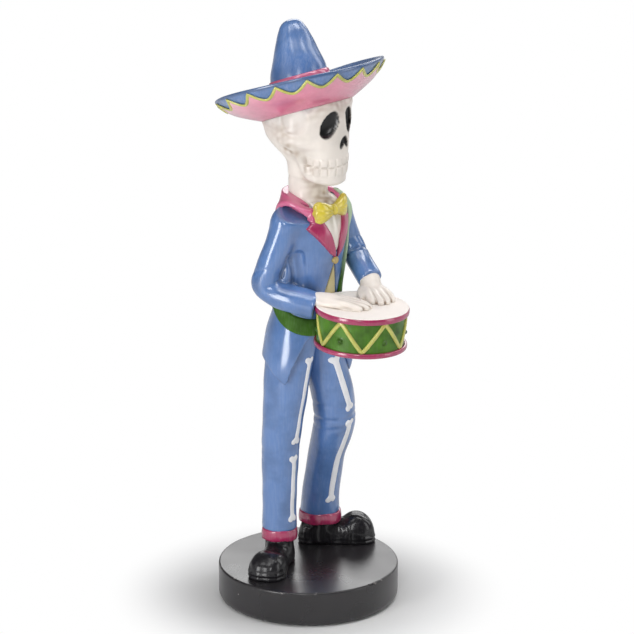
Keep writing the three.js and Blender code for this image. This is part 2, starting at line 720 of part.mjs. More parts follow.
// The sling crosses the back from the left shoulder and passes round the right hip to the drum
function slab_through(a, b, across, below, above) {
  const normal = b.clone().sub(a).cross(across).normalize();
  if (normal.z < 0) normal.negate();
  const slab = block(-FAR, FAR, -FAR, FAR, -below, above);
  slab.applyQuaternion(new THREE.Quaternion().setFromUnitVectors(v3(0, 0, 1), normal));
  slab.translate(a.x, a.y, a.z);
  return solid(slab);
}
const sling_hip = v3(-9.1, 11.2, WAIST_HEIGHT + 0.7);
const sling_shoulder = v3(12.6, 0, below_collar(3.5));
const sling_drum = v3(-8.0, -8.9, above_drum(1.3));
const sling_half = SLING_WIDTH / 2;
const back_run = slab_through(sling_hip, sling_shoulder, v3(0, 1, 0), sling_half, sling_half)
  .intersect(solid(block(-FAR, FAR, left_shoulder[1] + GAP, FAR, WAIST_HEIGHT - 5, HIGH)))
  .subtract(solid(block(-FAR, 10, -FAR, 3, 60, HIGH)));
const hip_across = v3(-13.7, -1.8, WAIST_HEIGHT - 2.6).sub(sling_hip);
const hip_run = slab_through(sling_hip, sling_drum, hip_across, HIP_BAND_BELOW, HIP_BAND_ABOVE)
  .intersect(solid(block(-FAR, -3, -FAR, 16, 60, above_drum(21.5))))
  .subtract(solid(block(-6.6, FAR, 0, FAR, 60, HIGH)));

// Lapels lie on the chest between the collar and the button
const lapel_skin = coat_shape(GAP + LAPEL_THICKNESS).subtract(coat_shape(GAP));
const lapel_line = [
  [-6.2, LAPEL_TOP], [-9.4, LAPEL_TOP], [-10.4, below_collar(7.5)], [-9.8, below_collar(8.3)],
  [-12.2, below_collar(10.3)], [-8.1, below_collar(15.5)], [-3.2, below_collar(21.7)], [-0.4, LAPEL_BOTTOM],
  [-0.9, below_collar(19.9)], [-2.6, below_collar(14.7)], [-5.4, below_collar(8.7)],
];
const strap_room = solid(front_cut(strap_outline(GAP), -FAR, left_shoulder[1]));
function lapel(outline) {
  return solid(front_cut(outline, -FAR, -3)).intersect(lapel_skin).subtract(neck_hole);
}
put(figure, "right_lapel", lapel(lapel_line.slice().reverse()), pink_gloss);
put(figure, "left_lapel", lapel(mirrored(lapel_line).reverse()).subtract(strap_room), pink_gloss);

// Collar: a fall laid on the shoulders and a low stand round the neck, open at the front
const collar_thickness = LAPEL_THICKNESS + COLLAR_EXTRA;
const stand_inner = NECK_RADIUS + 2 * GAP;
const stand_outer = stand_inner + COLLAR_STAND_WALL;
const collar_skin = coat_shape(GAP + collar_thickness);
const strap_reach = coat_shape(GAP + STRAP_THICKNESS + GAP);
const collar_reach = (grow) => solid(rod(COLLAR_REACH + grow, WAIST_HEIGHT, HIGH, 0, 0.6, NECK_SIDES));
const stand_low = COLLAR_HEIGHT - 3;
const stand_high = COLLAR_HEIGHT + COLLAR_STAND;
const collar_stand = ring_wall(stand_inner, stand_outer, stand_low, stand_high, NECK_SIDES);
collar_stand.translate(0, NECK_BACK, 0);
const collar_body = collar_skin.intersect(collar_reach(0))
  .intersect(solid(block(-FAR, FAR, -FAR, FAR, COLLAR_FALL_LOW, HIGH)))
  .add(solid(collar_stand))
  .subtract(coat_shape(GAP))
  .subtract(solid(block(-FAR, FAR, -FAR, -3, WAIST_HEIGHT, LAPEL_TOP + GAP)))
  .subtract(solid(block(-5.6, 5.6, -FAR, -2, WAIST_HEIGHT, HIGH)))
  .subtract(strap_reach.intersect(solid(block(STRAP_SIDE, FAR, -FAR, FAR, WAIST_HEIGHT, HIGH))))
  .subtract(above_collar(COLLAR_DIP))
  .subtract(neck_hole);
put(figure, "coat_collar", collar_body, pink_gloss);

const fall_room = block(-FAR, STRAP_SIDE + GAP, -FAR, FAR, COLLAR_FALL_LOW - GAP, HIGH);
const sling_body = back_run.add(hip_run)
  .intersect(strap_skin)
  .subtract(drum_room)
  .subtract(right_leg_shape(GAP))
  .subtract(collar_reach(GAP).intersect(solid(fall_room)));
put(figure, "drum_sling_back", sling_body, green_gloss);

// Button on the chest where the lapels end
function coat_front(height) {
  const k = coat_stations.findIndex((station) => station[2] > height);
  const [, low_y, low_z, , low_deep] = coat_stations[k - 1];
  const [, high_y, high_z, , high_deep] = coat_stations[k];
  const share = (height - low_z) / (high_z - low_z);
  return low_y - low_deep + (high_y - high_deep - low_y + low_deep) * share;
}
const button_front = coat_front(LAPEL_BOTTOM) - GAP - LAPEL_THICKNESS - GAP;
const button = turned([
  [0, 0], [BUTTON_RADIUS, 0], [BUTTON_RADIUS, BUTTON_HEIGHT * 0.5],
  [BUTTON_RADIUS * 0.7, BUTTON_HEIGHT * 0.92], [0, BUTTON_HEIGHT],
], 16);
button.rotateX(Math.PI / 2);
button.translate(0.3, button_front, LAPEL_BOTTOM);
put(figure, "coat_button", button, gold_paint);

// Bow tie: two pinched lobes and a knot
function bow_lobe(side) {
  const stations = [
    [KNOT_WIDTH / 2 + GAP, 1.3, 1.1, 0.0], [3.6, 2.0, 1.5, 0.0], [6.4, 3.2, 1.6, 0.5], [9.0, 3.8, 1.3, 1.4],
    [10.2, 3.3, 0.9, 2.0],
  ];
  const rings = stations.map(([x, tall, deep, back]) => {
    const ring = [];
    for (let i = 0; i < 10; i += 1) {
      const angle = (i / 10) * 2 * Math.PI;
      ring.push(v3(x, BOW_FRONT + back + deep * Math.cos(angle), BOW_HEIGHT + tall * Math.sin(angle)));
    }
    return ring;
  });
  const geometry = loft(rings);
  if (side < 0) {
    geometry.scale(-1, 1, 1);
    geometry.setIndex(Array.from(geometry.index.array).reverse());
  }
  return geometry;
}
const chest_room = coat_shape(GAP + LAPEL_THICKNESS + GAP);
const bow_room = chest_room.add(neck_hole);
put(figure, "bow_tie_right", solid(bow_lobe(-1)).subtract(bow_room), yellow_gloss);
put(figure, "bow_tie_left", solid(bow_lobe(1)).subtract(bow_room), yellow_gloss);
const knot = ellipsoid(0, BOW_FRONT - 0.2, BOW_HEIGHT, KNOT_WIDTH / 2, 2.0, 2.1, 10, 6);
put(figure, "bow_tie_knot", solid(knot).subtract(bow_room), yellow_gloss);

// Neck: a ringed column let into the coat and the skull
const neck_profile = [[0, neck_bottom], [NECK_RADIUS, neck_bottom]];
const neck_ring_start = COLLAR_HEIGHT + 1.4;
for (let i = 0; i <= NECK_RINGS * 2; i += 1) {
  const waist = i % 2 === 0 ? 0 : NECK_RING_DEPTH;
  neck_profile.push([NECK_RADIUS - waist, neck_ring_start + (i * NECK_RING_PITCH) / 2]);
}
neck_profile.push([NECK_RADIUS, NECK_TOP], [0, NECK_TOP]);
const neck_column = turned(neck_profile, NECK_SIDES);
neck_column.translate(0, NECK_BACK, 0);
put(figure, "neck", solid(neck_column).subtract(neck_pin_hole), bone_gloss);
const neck_wide = NECK_RADIUS + GAP;
const neck_room = solid(rod(neck_wide, neck_bottom - GAP, NECK_TOP + GAP, 0, NECK_BACK, NECK_SIDES));

// Hat frame: its origin is the centre of the rim
const hat = new THREE.Group();
hat.position.set(0, HAT_BACK, above_mouth(HAT_RISE));
hat.rotation.set(-BRIM_TILT * deg, BRIM_LEAN * deg, 0);
hat.updateMatrix();
figure.add(hat);
const hat_inverse = hat.matrix.clone().invert();
const hat_seat = (level) => solid(moved(block(-60, 60, -60, 60, level, 60), hat.matrix));

// Underside of the brim, from the head to the rim
const under_profile = [
  [0.53, -0.34], [0.67, -0.275], [0.81, -0.2], [0.9, -0.128], [0.978, -0.052],
].map(([r, z]) => [r * BRIM_RADIUS, z * BRIM_RADIUS]);
const brim_top = -0.053 * BRIM_RADIUS;
const hat_floor = under_profile[0][1];
const crown_bottom = brim_top + GAP;
const peg_bottom = hat_floor - CROWN_PEG_LENGTH;
const peg_room = rod(CROWN_PEG_RADIUS + GAP, peg_bottom - GAP, FAR, 0, 0, PEG_SIDES);
const hat_peg_room = solid(moved(peg_room, hat.matrix));

// Skull: cranium, face and cheekbones with sockets, nose slots and teeth
function cranium(grow) {
  return solid(ellipsoid(0, 1.5, above_mouth(19.2), 14.8 + grow, 19.0 + grow, 17 + grow, 16, 9));
}
const face_stations = [
  [0, -8.4, MOUTH_HEIGHT + GAP / 2, 8.0, 8.6],
  [0, -8.4, above_mouth(3.2), 8.8, 9.0],
  [0, -8.0, above_mouth(7.4), 10.0, 9.6],
  [0, -7.4, above_mouth(12.4), 11.4, 10.9],
  [0, -7.0, above_mouth(19.4), 11.8, 11.4],
  [0, -5.6, above_mouth(25.8), 11.0, 11.2],
];
const face = (grow) => solid(station_loft(face_stations, 16, grow, 2.3));
const nape_stations = [
  [0, 0.6, above_mouth(0.8), 8.4, 8.4],
  [0, 1.2, above_mouth(5.4), 10.2, 11.0],
  [0, 2.2, above_mouth(12.4), 13.0, 15.6],
];
const nape = (grow) => solid(station_loft(nape_stations, 16, grow));
function cheekbones(grow) {
  const bodies = [];
  for (const side of [-1, 1]) {
    bodies.push(solid(ellipsoid(side * 9.4, -9.6, above_mouth(10.4), 3.0 + grow, 5.6 + grow, 2.4 + grow, 8, 5)));
  }
  return bodies;
}
function tooth_row(stations, low, high) {
  const bodies = [];
  const [, y, , rx, ry] = stations;
  for (let i = 0; i < TEETH_PER_ROW; i += 1) {
    const angle = (-90 + (i - (TEETH_PER_ROW - 1) / 2) * TOOTH_PITCH) * deg;
    const tooth = new THREE.BoxGeometry(TOOTH_WIDTH * 0.88, TOOTH_WIDTH * 0.8, high - low);
    tooth.rotateZ(angle + Math.PI / 2);
    tooth.translate(rx * Math.cos(angle) * 0.98, y + ry * Math.sin(angle) * 0.98, (low + high) / 2);
    bodies.push(solid(tooth));
  }
  return bodies;
}
const sockets = [];
for (const side of [-1, 1]) {
  const nose_slot = [
    [side * 0.7, -19.4, above_mouth(11.6), 0.9], [side * 2.3, -18.6, above_mouth(7.8), 1.2],
  ];
  sockets.push(solid(ellipsoid(side * 6.9, -19.0, above_mouth(17.6), 4.2, 5.2, 5.6, 10, 6)));
  sockets.push(solid(limb(nose_slot, 6, 1)));
  sockets.push(solid(ellipsoid(side * 15.6, -5.5, above_mouth(17.4), 2.6, 5.6, 5.0, 8, 5)));
}
const bite_high = MOUTH_HEIGHT + GAP / 2;
const bite_low = MOUTH_HEIGHT - GAP / 2;
const upper_teeth = tooth_row(face_stations[0], bite_high, bite_high + TOOTH_HEIGHT);
const skull_shape = (grow) => joined([cranium(grow), face(grow), nape(grow), ...cheekbones(grow)]);
const skull_body = joined([skull_shape(0), ...upper_teeth])
  .subtract(joined(sockets))
  .subtract(neck_room)
  .subtract(neck_pin_hole)
  .subtract(hat_seat(hat_floor - GAP))
  .subtract(hat_peg_room);
put(figure, "skull", skull_body, bone_gloss);

// Lower jaw: chin, lower teeth and two branches up to the hinges
const jaw_stations = [
  [0, -10.2, above_mouth(-8.4), 4.6, 5.6],
  [0, -9.6, above_mouth(-7.4), 6.4, 7.2],
  [0, -8.8, above_mouth(-5.0), 7.6, 8.2],
  [0, -8.4, MOUTH_HEIGHT - GAP / 2, 8.0, 8.6],
];
const lower_teeth = tooth_row(jaw_stations[3], bite_low - TOOTH_HEIGHT, bite_low);
const jaw_parts = [solid(station_loft(jaw_stations, 16, 0, 2.3)), ...lower_teeth];
for (const side of [-1, 1]) {
  const path = [
    [side * 6.6, -8.0, above_mouth(-5.2), 2.0], [side * 8.2, -4.0, above_mouth(-4.2), 2.3],
    [side * 9.6, -2.2, above_mouth(0.4), 2.2], [side * 11.2, -1.0, above_mouth(5.4), 2.0],
    [side * 12.4, 0.4, above_mouth(9.8), 1.7],
  ];
  jaw_parts.push(solid(limb(path, 6, 4)));
}
const jaw_body = joined(jaw_parts).subtract(skull_shape(GAP)).subtract(neck_room);
put(figure, "lower_jaw", jaw_body, bone_gloss);

// Brim: a shallow dish turned about the hat axis
const brim_profile = [
  [0, under_profile[0][1]],
  ...under_profile,
  [BRIM_RADIUS, -0.018 * BRIM_RADIUS],
  [0.988 * BRIM_RADIUS, 0.009 * BRIM_RADIUS],
  [0.958 * BRIM_RADIUS, 0.006 * BRIM_RADIUS],
  [0.853 * BRIM_RADIUS, -0.03 * BRIM_RADIUS],
  [0.706 * BRIM_RADIUS, brim_top],
  [0, brim_top],
];
// The brim is warped like a saddle, most at its rim
function brim_warp(x, y) {
  const lift = BRIM_WARP * Math.sin(2 * (BRIM_WARP_TURN * deg - Math.atan2(y, x)));
  return lift * (Math.hypot(x, y) / BRIM_RADIUS) ** 4;
}
const brim_dish = turned(brim_profile, BRIM_SIDES);
const dish_points = brim_dish.attributes.position;
for (let i = 0; i < dish_points.count; i += 1) {
  const warp = brim_warp(dish_points.getX(i), dish_points.getY(i));
  dish_points.setZ(i, dish_points.getZ(i) + warp);
}
const peg_hole = solid(rod(CROWN_PEG_RADIUS + GAP, -FAR, FAR, 0, 0, PEG_SIDES));
put(hat, "hat_brim", solid(brim_dish).subtract(peg_hole), blue_gloss);

// Crown: a rounded cone that leans forward of the brim
const crown_line = [
  [0.0, 1.0], [0.22, 0.95], [0.38, 0.85], [0.54, 0.735], [0.7, 0.6], [0.86, 0.465], [0.94, 0.35], [0.98, 0.22],
  [1.0, 0.1],
];
const crown_rings = crown_line.map(([t, r]) => {
  const z = crown_bottom + t * (CROWN_HEIGHT - crown_bottom);
  const radius = r * CROWN_RADIUS;
  return level_ring(0, -CROWN_LEAN * (z - crown_bottom), z, radius, radius, CROWN_SIDES);
});
const crown_peg = solid(rod(CROWN_PEG_RADIUS, peg_bottom, crown_bottom + 1, 0, 0, PEG_SIDES));
put(hat, "hat_crown", solid(loft(crown_rings)).add(crown_peg), blue_gloss);
const band_inner = CROWN_RADIUS + CROWN_LEAN * BAND_HEIGHT + GAP;
const band_low = crown_bottom;
const band_tip = band_inner + BAND_THICKNESS;
put(hat, "hat_band", turned([
  [band_inner, band_low], [band_tip - 0.2, band_low], [band_tip, band_low + BAND_HEIGHT * 0.5],
  [band_tip - 0.3, band_low + BAND_HEIGHT], [band_inner, band_low + BAND_HEIGHT], [band_inner, band_low],
], 24), pink_gloss);

// Lining under the brim with a scalloped outer edge, and the cord that follows the edge
const edge_count = SCALLOPS * SCALLOP_STEPS;
function under_point(share, offset) {
  const spans = under_profile.length - 1;
  const at = Math.min(share, 0.9999) * spans;
  const k = Math.floor(at);
  const a = under_profile[k];
  const b = under_profile[k + 1];
  const f = at - k;
  const dr = b[0] - a[0];
  const dz = b[1] - a[1];
  const normal = (i) => {
    const p = under_profile[Math.max(i - 1, 0)];
    const q = under_profile[Math.min(i + 1, spans)];
    const d = Math.hypot(q[0] - p[0], q[1] - p[1]);
    return [(q[1] - p[1]) / d, -(q[0] - p[0]) / d];
  };
  const n0 = normal(k);
  const n1 = normal(k + 1);
  const nr = n0[0] + (n1[0] - n0[0]) * f;
  const nz = n0[1] + (n1[1] - n0[1]) * f;
  const d = Math.hypot(nr, nz);
  return [a[0] + dr * f + (nr / d) * offset, a[1] + dz * f + (nz / d) * offset];
}
function scallop_share(i) {
  const phase = (i % SCALLOP_STEPS) / SCALLOP_STEPS;
  const wave = 1 - Math.abs(1 - 2 * phase);
  return SCALLOP_LOW + (SCALLOP_HIGH - SCALLOP_LOW) * wave;
}
function around(r, z, i) {
  const angle = (SCALLOP_START + (i / edge_count) * 360) * deg;
  const x = r * Math.cos(angle);
  const y = r * Math.sin(angle);
  return v3(x, y, z + brim_warp(x, y));
}
const lining_shares = (edge) => [0, 0.25, 0.5, 0.5 + (edge - 0.5) * 0.57, edge];
const lining_rows = 4;
const lining_points = [];
for (let i = 0; i < edge_count; i += 1) {
  for (const offset of [LINING_GAP, LINING_GAP + LINING_THICKNESS]) {
    for (const share of lining_shares(scallop_share(i))) {
      const [r, z] = under_point(share, offset);
      lining_points.push(around(r, z, i));
    }
  }
}
const lining_faces = [];
const row_size = 2 * (lining_rows + 1);
for (let i = 0; i < edge_count; i += 1) {
  const a = i * row_size;
  const b = ((i + 1) % edge_count) * row_size;
  const loop = [];
  for (let j = 0; j <= lining_rows; j += 1) loop.push(j);
  for (let j = lining_rows; j >= 0; j -= 1) loop.push(lining_rows + 1 + j);
  for (let j = 0; j < loop.length; j += 1) {
    const p = loop[j];
    const q = loop[(j + 1) % loop.length];
    lining_faces.push(a + p, a + q, b + q, a + p, b + q, b + p);
  }
}
const lining = new THREE.BufferGeometry();
const lining_numbers = new Float32Array(lining_points.flatMap((p) => [p.x, p.y, p.z]));
lining.setAttribute("position", new THREE.BufferAttribute(lining_numbers, 3));
lining.setIndex(lining_faces);
const skull_in_hat = solid(moved(surface(skull_shape(GAP)), hat_inverse));
put(hat, "brim_lining", solid(lining).subtract(skull_in_hat), pink_gloss);
const cord_points = [];
for (let i = 0; i < edge_count; i += 1) {
  const [r, z] = under_point(scallop_share(i), LINING_GAP + LINING_THICKNESS + GAP + BRIM_CORD_RADIUS);
  cord_points.push(around(r, z, i));
}
const brim_cord = closed_cord(cord_points, BRIM_CORD_RADIUS, 4, (p) => v3(p.x, p.y, -BRIM_RADIUS / 2).normalize());
put(hat, "brim_cord", brim_cord, yellow_gloss);

// Sleeves run from the shoulder caps to the cuffs
const right_sleeve_path = [
  [-14.2, -1.2, below_collar(7.9), 5.8], [-16.8, 0.8, below_collar(16.5), 5.4],
  [-18.8, 4.4, above_drum(28.1), 5.2], [-18.9, 5.6, above_drum(22.7), 5.2], [-18.0, 1.5, above_drum(20.7), 5.1],
  [-15.8, -7.0, above_drum(18.9), 5.0], [-12.9, -15.4, above_drum(17.3), 5.0],
];
const left_sleeve_path = [
  [13.4, -2.2, below_collar(8.5), 5.6], [17.0, -3.4, below_collar(17.5), 5.2],
  [19.0, -5.6, above_drum(30.0), 5.0], [18.0, -11.0, above_drum(24.1), 4.9], [15.6, -17.4, above_drum(19.9), 4.8],
];

// Hands lie flat on the drum head, in the drum frame, each with a tenon into its sleeve
const drum_inverse = drum.matrix.clone().invert();
function wrist_frame(path, reach) {
  const end = path[path.length - 1];
  const at = v3(end[0], end[1], end[2]).applyMatrix4(drum_inverse);
  const frame = new THREE.Matrix4().makeRotationZ(Math.atan2(-reach[0], reach[1]));
  frame.setPosition(at.x, at.y, drum_top);
  return { frame, height: at.z - drum_top };
}
function wrist(height, grow) {
  const r = WRIST_RADIUS + grow;
  const back = -TENON_LENGTH - grow;
  return limb([[0, back, height + 0.4, r], [0, 0, height, r], [0, 5.0, 2.0, r - 0.3]], 6, 3);
}
const palm = (grow) => ellipsoid(0, 7.0, 1.7, 4.4 + grow, 5.2 + grow, 2.0 + grow, 6, 4);
const head_plane = solid(rod(FAR, -5, drum_top + HOOP_LIP + GAP, 0, 0, 24));
function hand(thumb_side, path, reach) {
  const { frame, height } = wrist_frame(path, reach);
  const bodies = [solid(palm(0)), solid(wrist(height, 0))];
  FINGER_LENGTHS.forEach((length, i) => {
    const x = thumb_side * FINGER_PITCH * (i - (FINGER_LENGTHS.length - 1) / 2);
    const tip = x * 1.12;
    const finger = [
      [x * 0.9, 9.0, 2.0, 1.25], [x, 12.0, 1.9, 1.2], [tip, length, 1.3, 1.0], [tip, length + 1, 1.1, 0.6],
    ];
    bodies.push(solid(limb(finger, 4, 3)));
  });
  const thumb_line = [[3.0, 5.0, 1.8, 1.4], [5.2, 7.6, 1.6, 1.3], [5.9, 10.4, 1.3, 0.9]];
  const thumb = thumb_line.map(([x, y, z, r]) => [thumb_side * x, y, z, r]);
  bodies.push(solid(limb(thumb, 4, 2)));
  return solid(moved(surface(joined(bodies)), frame)).subtract(head_plane);
}
const right_reach = [8.4, -17.1];
const left_reach = [-8.7, -14.5];
put(drum, "right_hand", hand(-1, right_sleeve_path, right_reach), bone_gloss);
put(drum, "left_hand", hand(1, left_sleeve_path, left_reach), bone_gloss);

function sleeve(path, steps, reach) {
  const { frame, height } = wrist_frame(path, reach);
  const to_figure = drum.matrix.clone().multiply(frame);
  const bore = solid(moved(wrist(height, GAP), to_figure));
  const palm_room = solid(moved(palm(GAP), to_figure));
  return solid(limb(path, SLEEVE_SIDES, steps))
    .subtract(bore)
    .subtract(palm_room)
    .subtract(coat_shape(GAP))
    .subtract(collar_room)
    .subtract(drum_room);
}
const collar_room = coat_shape(GAP + collar_thickness + GAP).intersect(collar_reach(GAP));
const right_arm_strap = strap_reach.intersect(solid(block(-FAR, -6, -FAR, FAR, 60, above_drum(23.5))));
const right_sleeve_body = sleeve(right_sleeve_path, 13, right_reach).subtract(right_arm_strap);
put(figure, "right_sleeve", right_sleeve_body, blue_gloss);
const left_arm_strap = strap_reach.intersect(strap_room.add(solid(block(6, 17.5, -3, FAR, COLLAR_FALL_LOW, HIGH))));
const left_sleeve_body = sleeve(left_sleeve_path, 11, left_reach).subtract(left_arm_strap);
put(figure, "left_sleeve", left_sleeve_body, blue_gloss);

// Drum: a solid cast shell with studs, heads, hoops and lacing
const studs = [];
for (let i = 0; i < LACE_TURNS; i += 1) {
  const angle = (LACE_START + ((i + 0.5) / LACE_TURNS) * 360) * deg;
  const reach = DRUM_RADIUS - 0.1;
  const stud = ellipsoid(reach * Math.cos(angle), reach * Math.sin(angle), DRUM_HEIGHT * STUD_HEIGHT,
    STUD_RADIUS, STUD_RADIUS, STUD_RADIUS, 4, 4);
  studs.push(solid(stud));
}
const pin_in_drum = solid(moved(surface(drum_pin_hole), drum_inverse));
const shell = solid(rod(DRUM_RADIUS, 0, DRUM_HEIGHT, 0, 0, DRUM_SIDES));
put(drum, "drum_shell", joined([shell, ...studs]).subtract(pin_in_drum), green_gloss);
const drum_head = (low) => rod(DRUM_RADIUS, low, low + DRUM_HEAD_THICKNESS, 0, 0, DRUM_SIDES);
put(drum, "drum_top_head", drum_head(DRUM_HEIGHT), cream_gloss);
put(drum, "drum_bottom_head", drum_head(-DRUM_HEAD_THICKNESS), cream_gloss);
function hoop(z0, z1) {
  const edge = hoop_outer - HOOP_THICKNESS * 0.35;
  const middle = (z0 + z1) / 2;
  const profile = [
    [hoop_inner, z0], [edge, z0], [hoop_outer, middle], [edge, z1], [hoop_inner, z1], [hoop_inner, z0],
  ];
  return turned(profile, DRUM_SIDES);
}
const top_hoop_high = drum_top + HOOP_LIP;
const low_hoop_low = -DRUM_HEAD_THICKNESS - HOOP_LIP;
put(drum, "drum_top_hoop", hoop(top_hoop_high - HOOP_HEIGHT, top_hoop_high), pink_gloss);
put(drum, "drum_bottom_hoop", hoop(low_hoop_low, low_hoop_low + HOOP_HEIGHT), pink_gloss);
const lace_high = top_hoop_high - HOOP_HEIGHT - LACE_RADIUS - GAP;
const lace_low = low_hoop_low + HOOP_HEIGHT + LACE_RADIUS + GAP;
const lace_reach = DRUM_RADIUS + GAP + LACE_RADIUS;
const lace_points = [];
for (let i = 0; i < LACE_TURNS * LACE_STEPS; i += 1) {
  const phase = (i % LACE_STEPS) / LACE_STEPS;
  const wave = 1 - Math.abs(1 - 2 * phase);
  const angle = (LACE_START + (i / (LACE_TURNS * LACE_STEPS)) * 360) * deg;
  const z = lace_low + (lace_high - lace_low) * wave;
  lace_points.push(v3(lace_reach * Math.cos(angle), lace_reach * Math.sin(angle), z));
}
const lacing = closed_cord(lace_points, LACE_RADIUS, 4, (p) => v3(p.x, p.y, 0).normalize());
put(drum, "drum_lacing", solid(lacing).subtract(pin_in_drum), yellow_gloss);

export default part;
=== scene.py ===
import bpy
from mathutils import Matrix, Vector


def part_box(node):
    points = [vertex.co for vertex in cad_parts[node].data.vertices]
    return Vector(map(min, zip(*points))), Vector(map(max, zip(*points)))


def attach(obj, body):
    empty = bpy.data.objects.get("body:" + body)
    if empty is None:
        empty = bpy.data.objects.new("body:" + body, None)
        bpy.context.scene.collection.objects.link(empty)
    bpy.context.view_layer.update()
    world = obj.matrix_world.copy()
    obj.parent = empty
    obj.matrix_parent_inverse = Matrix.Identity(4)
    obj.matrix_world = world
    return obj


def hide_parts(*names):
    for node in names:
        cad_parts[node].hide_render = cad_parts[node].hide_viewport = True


bl_info = {
    "name": "Skeleton drummer figurine",
    "version": (1, 0, 0),
    "blender": (4, 5, 0),
    "location": "3D View > Sidebar > Figurine",
    "description": "Sculpts and paints a cast resin skeleton drummer round its CAD frame",
    "category": "Object",
}

import copy
import math

import bpy
import numpy as np
import openvdb
from bpy.props import FloatProperty, FloatVectorProperty, PointerProperty
from mathutils import Matrix, Vector

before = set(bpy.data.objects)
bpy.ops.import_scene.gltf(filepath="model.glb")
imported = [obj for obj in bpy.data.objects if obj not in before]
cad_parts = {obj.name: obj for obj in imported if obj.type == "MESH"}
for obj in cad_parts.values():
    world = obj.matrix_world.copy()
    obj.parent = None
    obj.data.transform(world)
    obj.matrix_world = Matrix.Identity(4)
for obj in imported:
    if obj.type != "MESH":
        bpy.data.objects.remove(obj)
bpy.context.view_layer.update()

# Metres in a millimetre, and the height of the base that the figure stands on
MM = 0.001
BASE_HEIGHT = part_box("base_disc")[1][2] / MM
BASE_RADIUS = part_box("base_disc")[1][0] / MM
ROOT = "root"
TINY = 1e-6

# Camera: a long lens in front of the figure's right shoulder, for a square picture
CAMERA_PLACE = (-1.6992, -1.4302, 0.9160)
CAMERA_TURN = -50.0
CAMERA_DROP = 19.8
CAMERA_LENS = 344.1
SENSOR = 36.0


# Clay: a block of points that holds a distance, in millimetres above the base top
class Clay:
    def __init__(self, low, high, grain):
        self.low = np.array(low, dtype=np.float64)
        self.grain = grain
        counts = np.ceil((np.array(high, dtype=np.float64) - self.low) / grain).astype(int) + 1
        lines = [(self.low[i] + grain * np.arange(counts[i])).astype(np.float32) for i in range(3)]
        self.x = lines[0].reshape(-1, 1, 1)
        self.y = lines[1].reshape(1, -1, 1)
        self.z = lines[2].reshape(1, 1, -1)
        self.shape = tuple(counts)

    def front(self):
        """The same block pressed flat on Y = 0, for outlines seen from the front."""
        flat = copy.copy(self)
        flat.y = np.zeros((1, 1, 1), dtype=np.float32)
        return flat

    def off(self, spot):
        """How far the points lie from a spot along X, Y and Z."""
        return [axis - float(c) for axis, c in zip((self.x, self.y, self.z), spot)]

    def read(self, field, points):
        """The field at points, by straight interpolation."""
        at = (points - self.low) / self.grain
        top = np.array(self.shape) - 2
        cell = np.clip(np.floor(at).astype(int), 0, top)
        part = np.clip(at - cell, 0.0, 1.0)
        total = np.zeros(len(points))
        for dx in (0, 1):
            for dy in (0, 1):
                for dz in (0, 1):
                    step = np.array([dx, dy, dz])
                    weight = np.abs(1 - step - part).prod(axis=1)
                    corner = cell + step
                    total += weight * field[corner[:, 0], corner[:, 1], corner[:, 2]]
        return total


def blend(a, b, soft):
    """Joins two shapes with a rounded valley."""
    mix = np.clip(0.5 + 0.5 * (b - a) / soft, 0.0, 1.0)
    return b + (a - b) * mix - soft * mix * (1.0 - mix)


def meet(a, b, soft):
    """Keeps what two shapes share, with a rounded edge."""
    return -blend(-a, -b, soft)


def carve(a, b, soft):
    """Cuts shape b out of shape a, with a rounded edge."""
    return -blend(-a, b, soft)


def egg(clay, centre, radii):
    """An ellipsoid."""
    gone = clay.off(centre)
    near = np.sqrt(sum((d / r) ** 2 for d, r in zip(gone, radii)))
    steep = np.sqrt(sum((d / r ** 2) ** 2 for d, r in zip(gone, radii)))
    return near * (near - 1) / np.maximum(steep, TINY)


def cone(clay, a, b, start, end):
    """A bar with round ends whose radius runs from start to end."""
    line = [float(q - p) for p, q in zip(a, b)]
    gone = clay.off(a)
    share = sum(d * step for d, step in zip(gone, line)) / max(sum(step * step for step in line), TINY)
    share = np.clip(share, 0, 1)
    gap = np.sqrt(sum((d - share * step) ** 2 for d, step in zip(gone, line)))
    return gap - float(start) - float(end - start) * share


def ridge(off, width):
    """A smooth ridge of height 1 where the offset is zero."""
    return np.exp(-(off / width) ** 2)


def ramp(value, start, full):
    """A share that rises from 0 at start to 1 at full."""
    return np.clip((value - start) / (full - start), 0, 1)


def fade_out(value, width):
    """A share that falls smoothly from 1 to 0 as the value passes zero."""
    return 0.5 - 0.5 * np.tanh(value / (2 * width))


def smooth_line(at, knots, values):
    """A smooth curve through values at knots."""
    knots = np.array(knots, dtype=float)
    values = np.array(values, dtype=float)
    slopes = np.gradient(values, knots)
    i = np.clip(np.searchsorted(knots, at) - 1, 0, len(knots) - 2)
    span = knots[i + 1] - knots[i]
    t = np.clip((at - knots[i]) / span, 0.0, 1.0)
    rise = values[i] * (1 + 2 * t) * (1 - t) ** 2 + values[i + 1] * t * t * (3 - 2 * t)
    return rise + span * (slopes[i] * t * (1 - t) ** 2 - slopes[i + 1] * t * t * (1 - t))


def path_points(path, count):
    """Points and radii spread evenly along a smooth path of x, y, z, radius."""
    path = np.array(path, dtype=float)
    steps = np.linalg.norm(np.diff(path[:, :3], axis=0), axis=1)
    knots = np.concatenate([[0.0], np.cumsum(steps)])
    at = np.linspace(0.0, knots[-1], count)
    return np.stack([smooth_line(at, knots, path[:, k]) for k in range(path.shape[1])], axis=1)


def limb(clay, path, count, soft=0.5):
    """A round limb along a smooth path."""
    line = path_points(path, count)
    body = None
    for a, b in zip(line[:-1], line[1:]):
        piece = cone(clay, a[:3], b[:3], a[3], b[3])
        body = piece if body is None else blend(body, piece, soft)
    return body


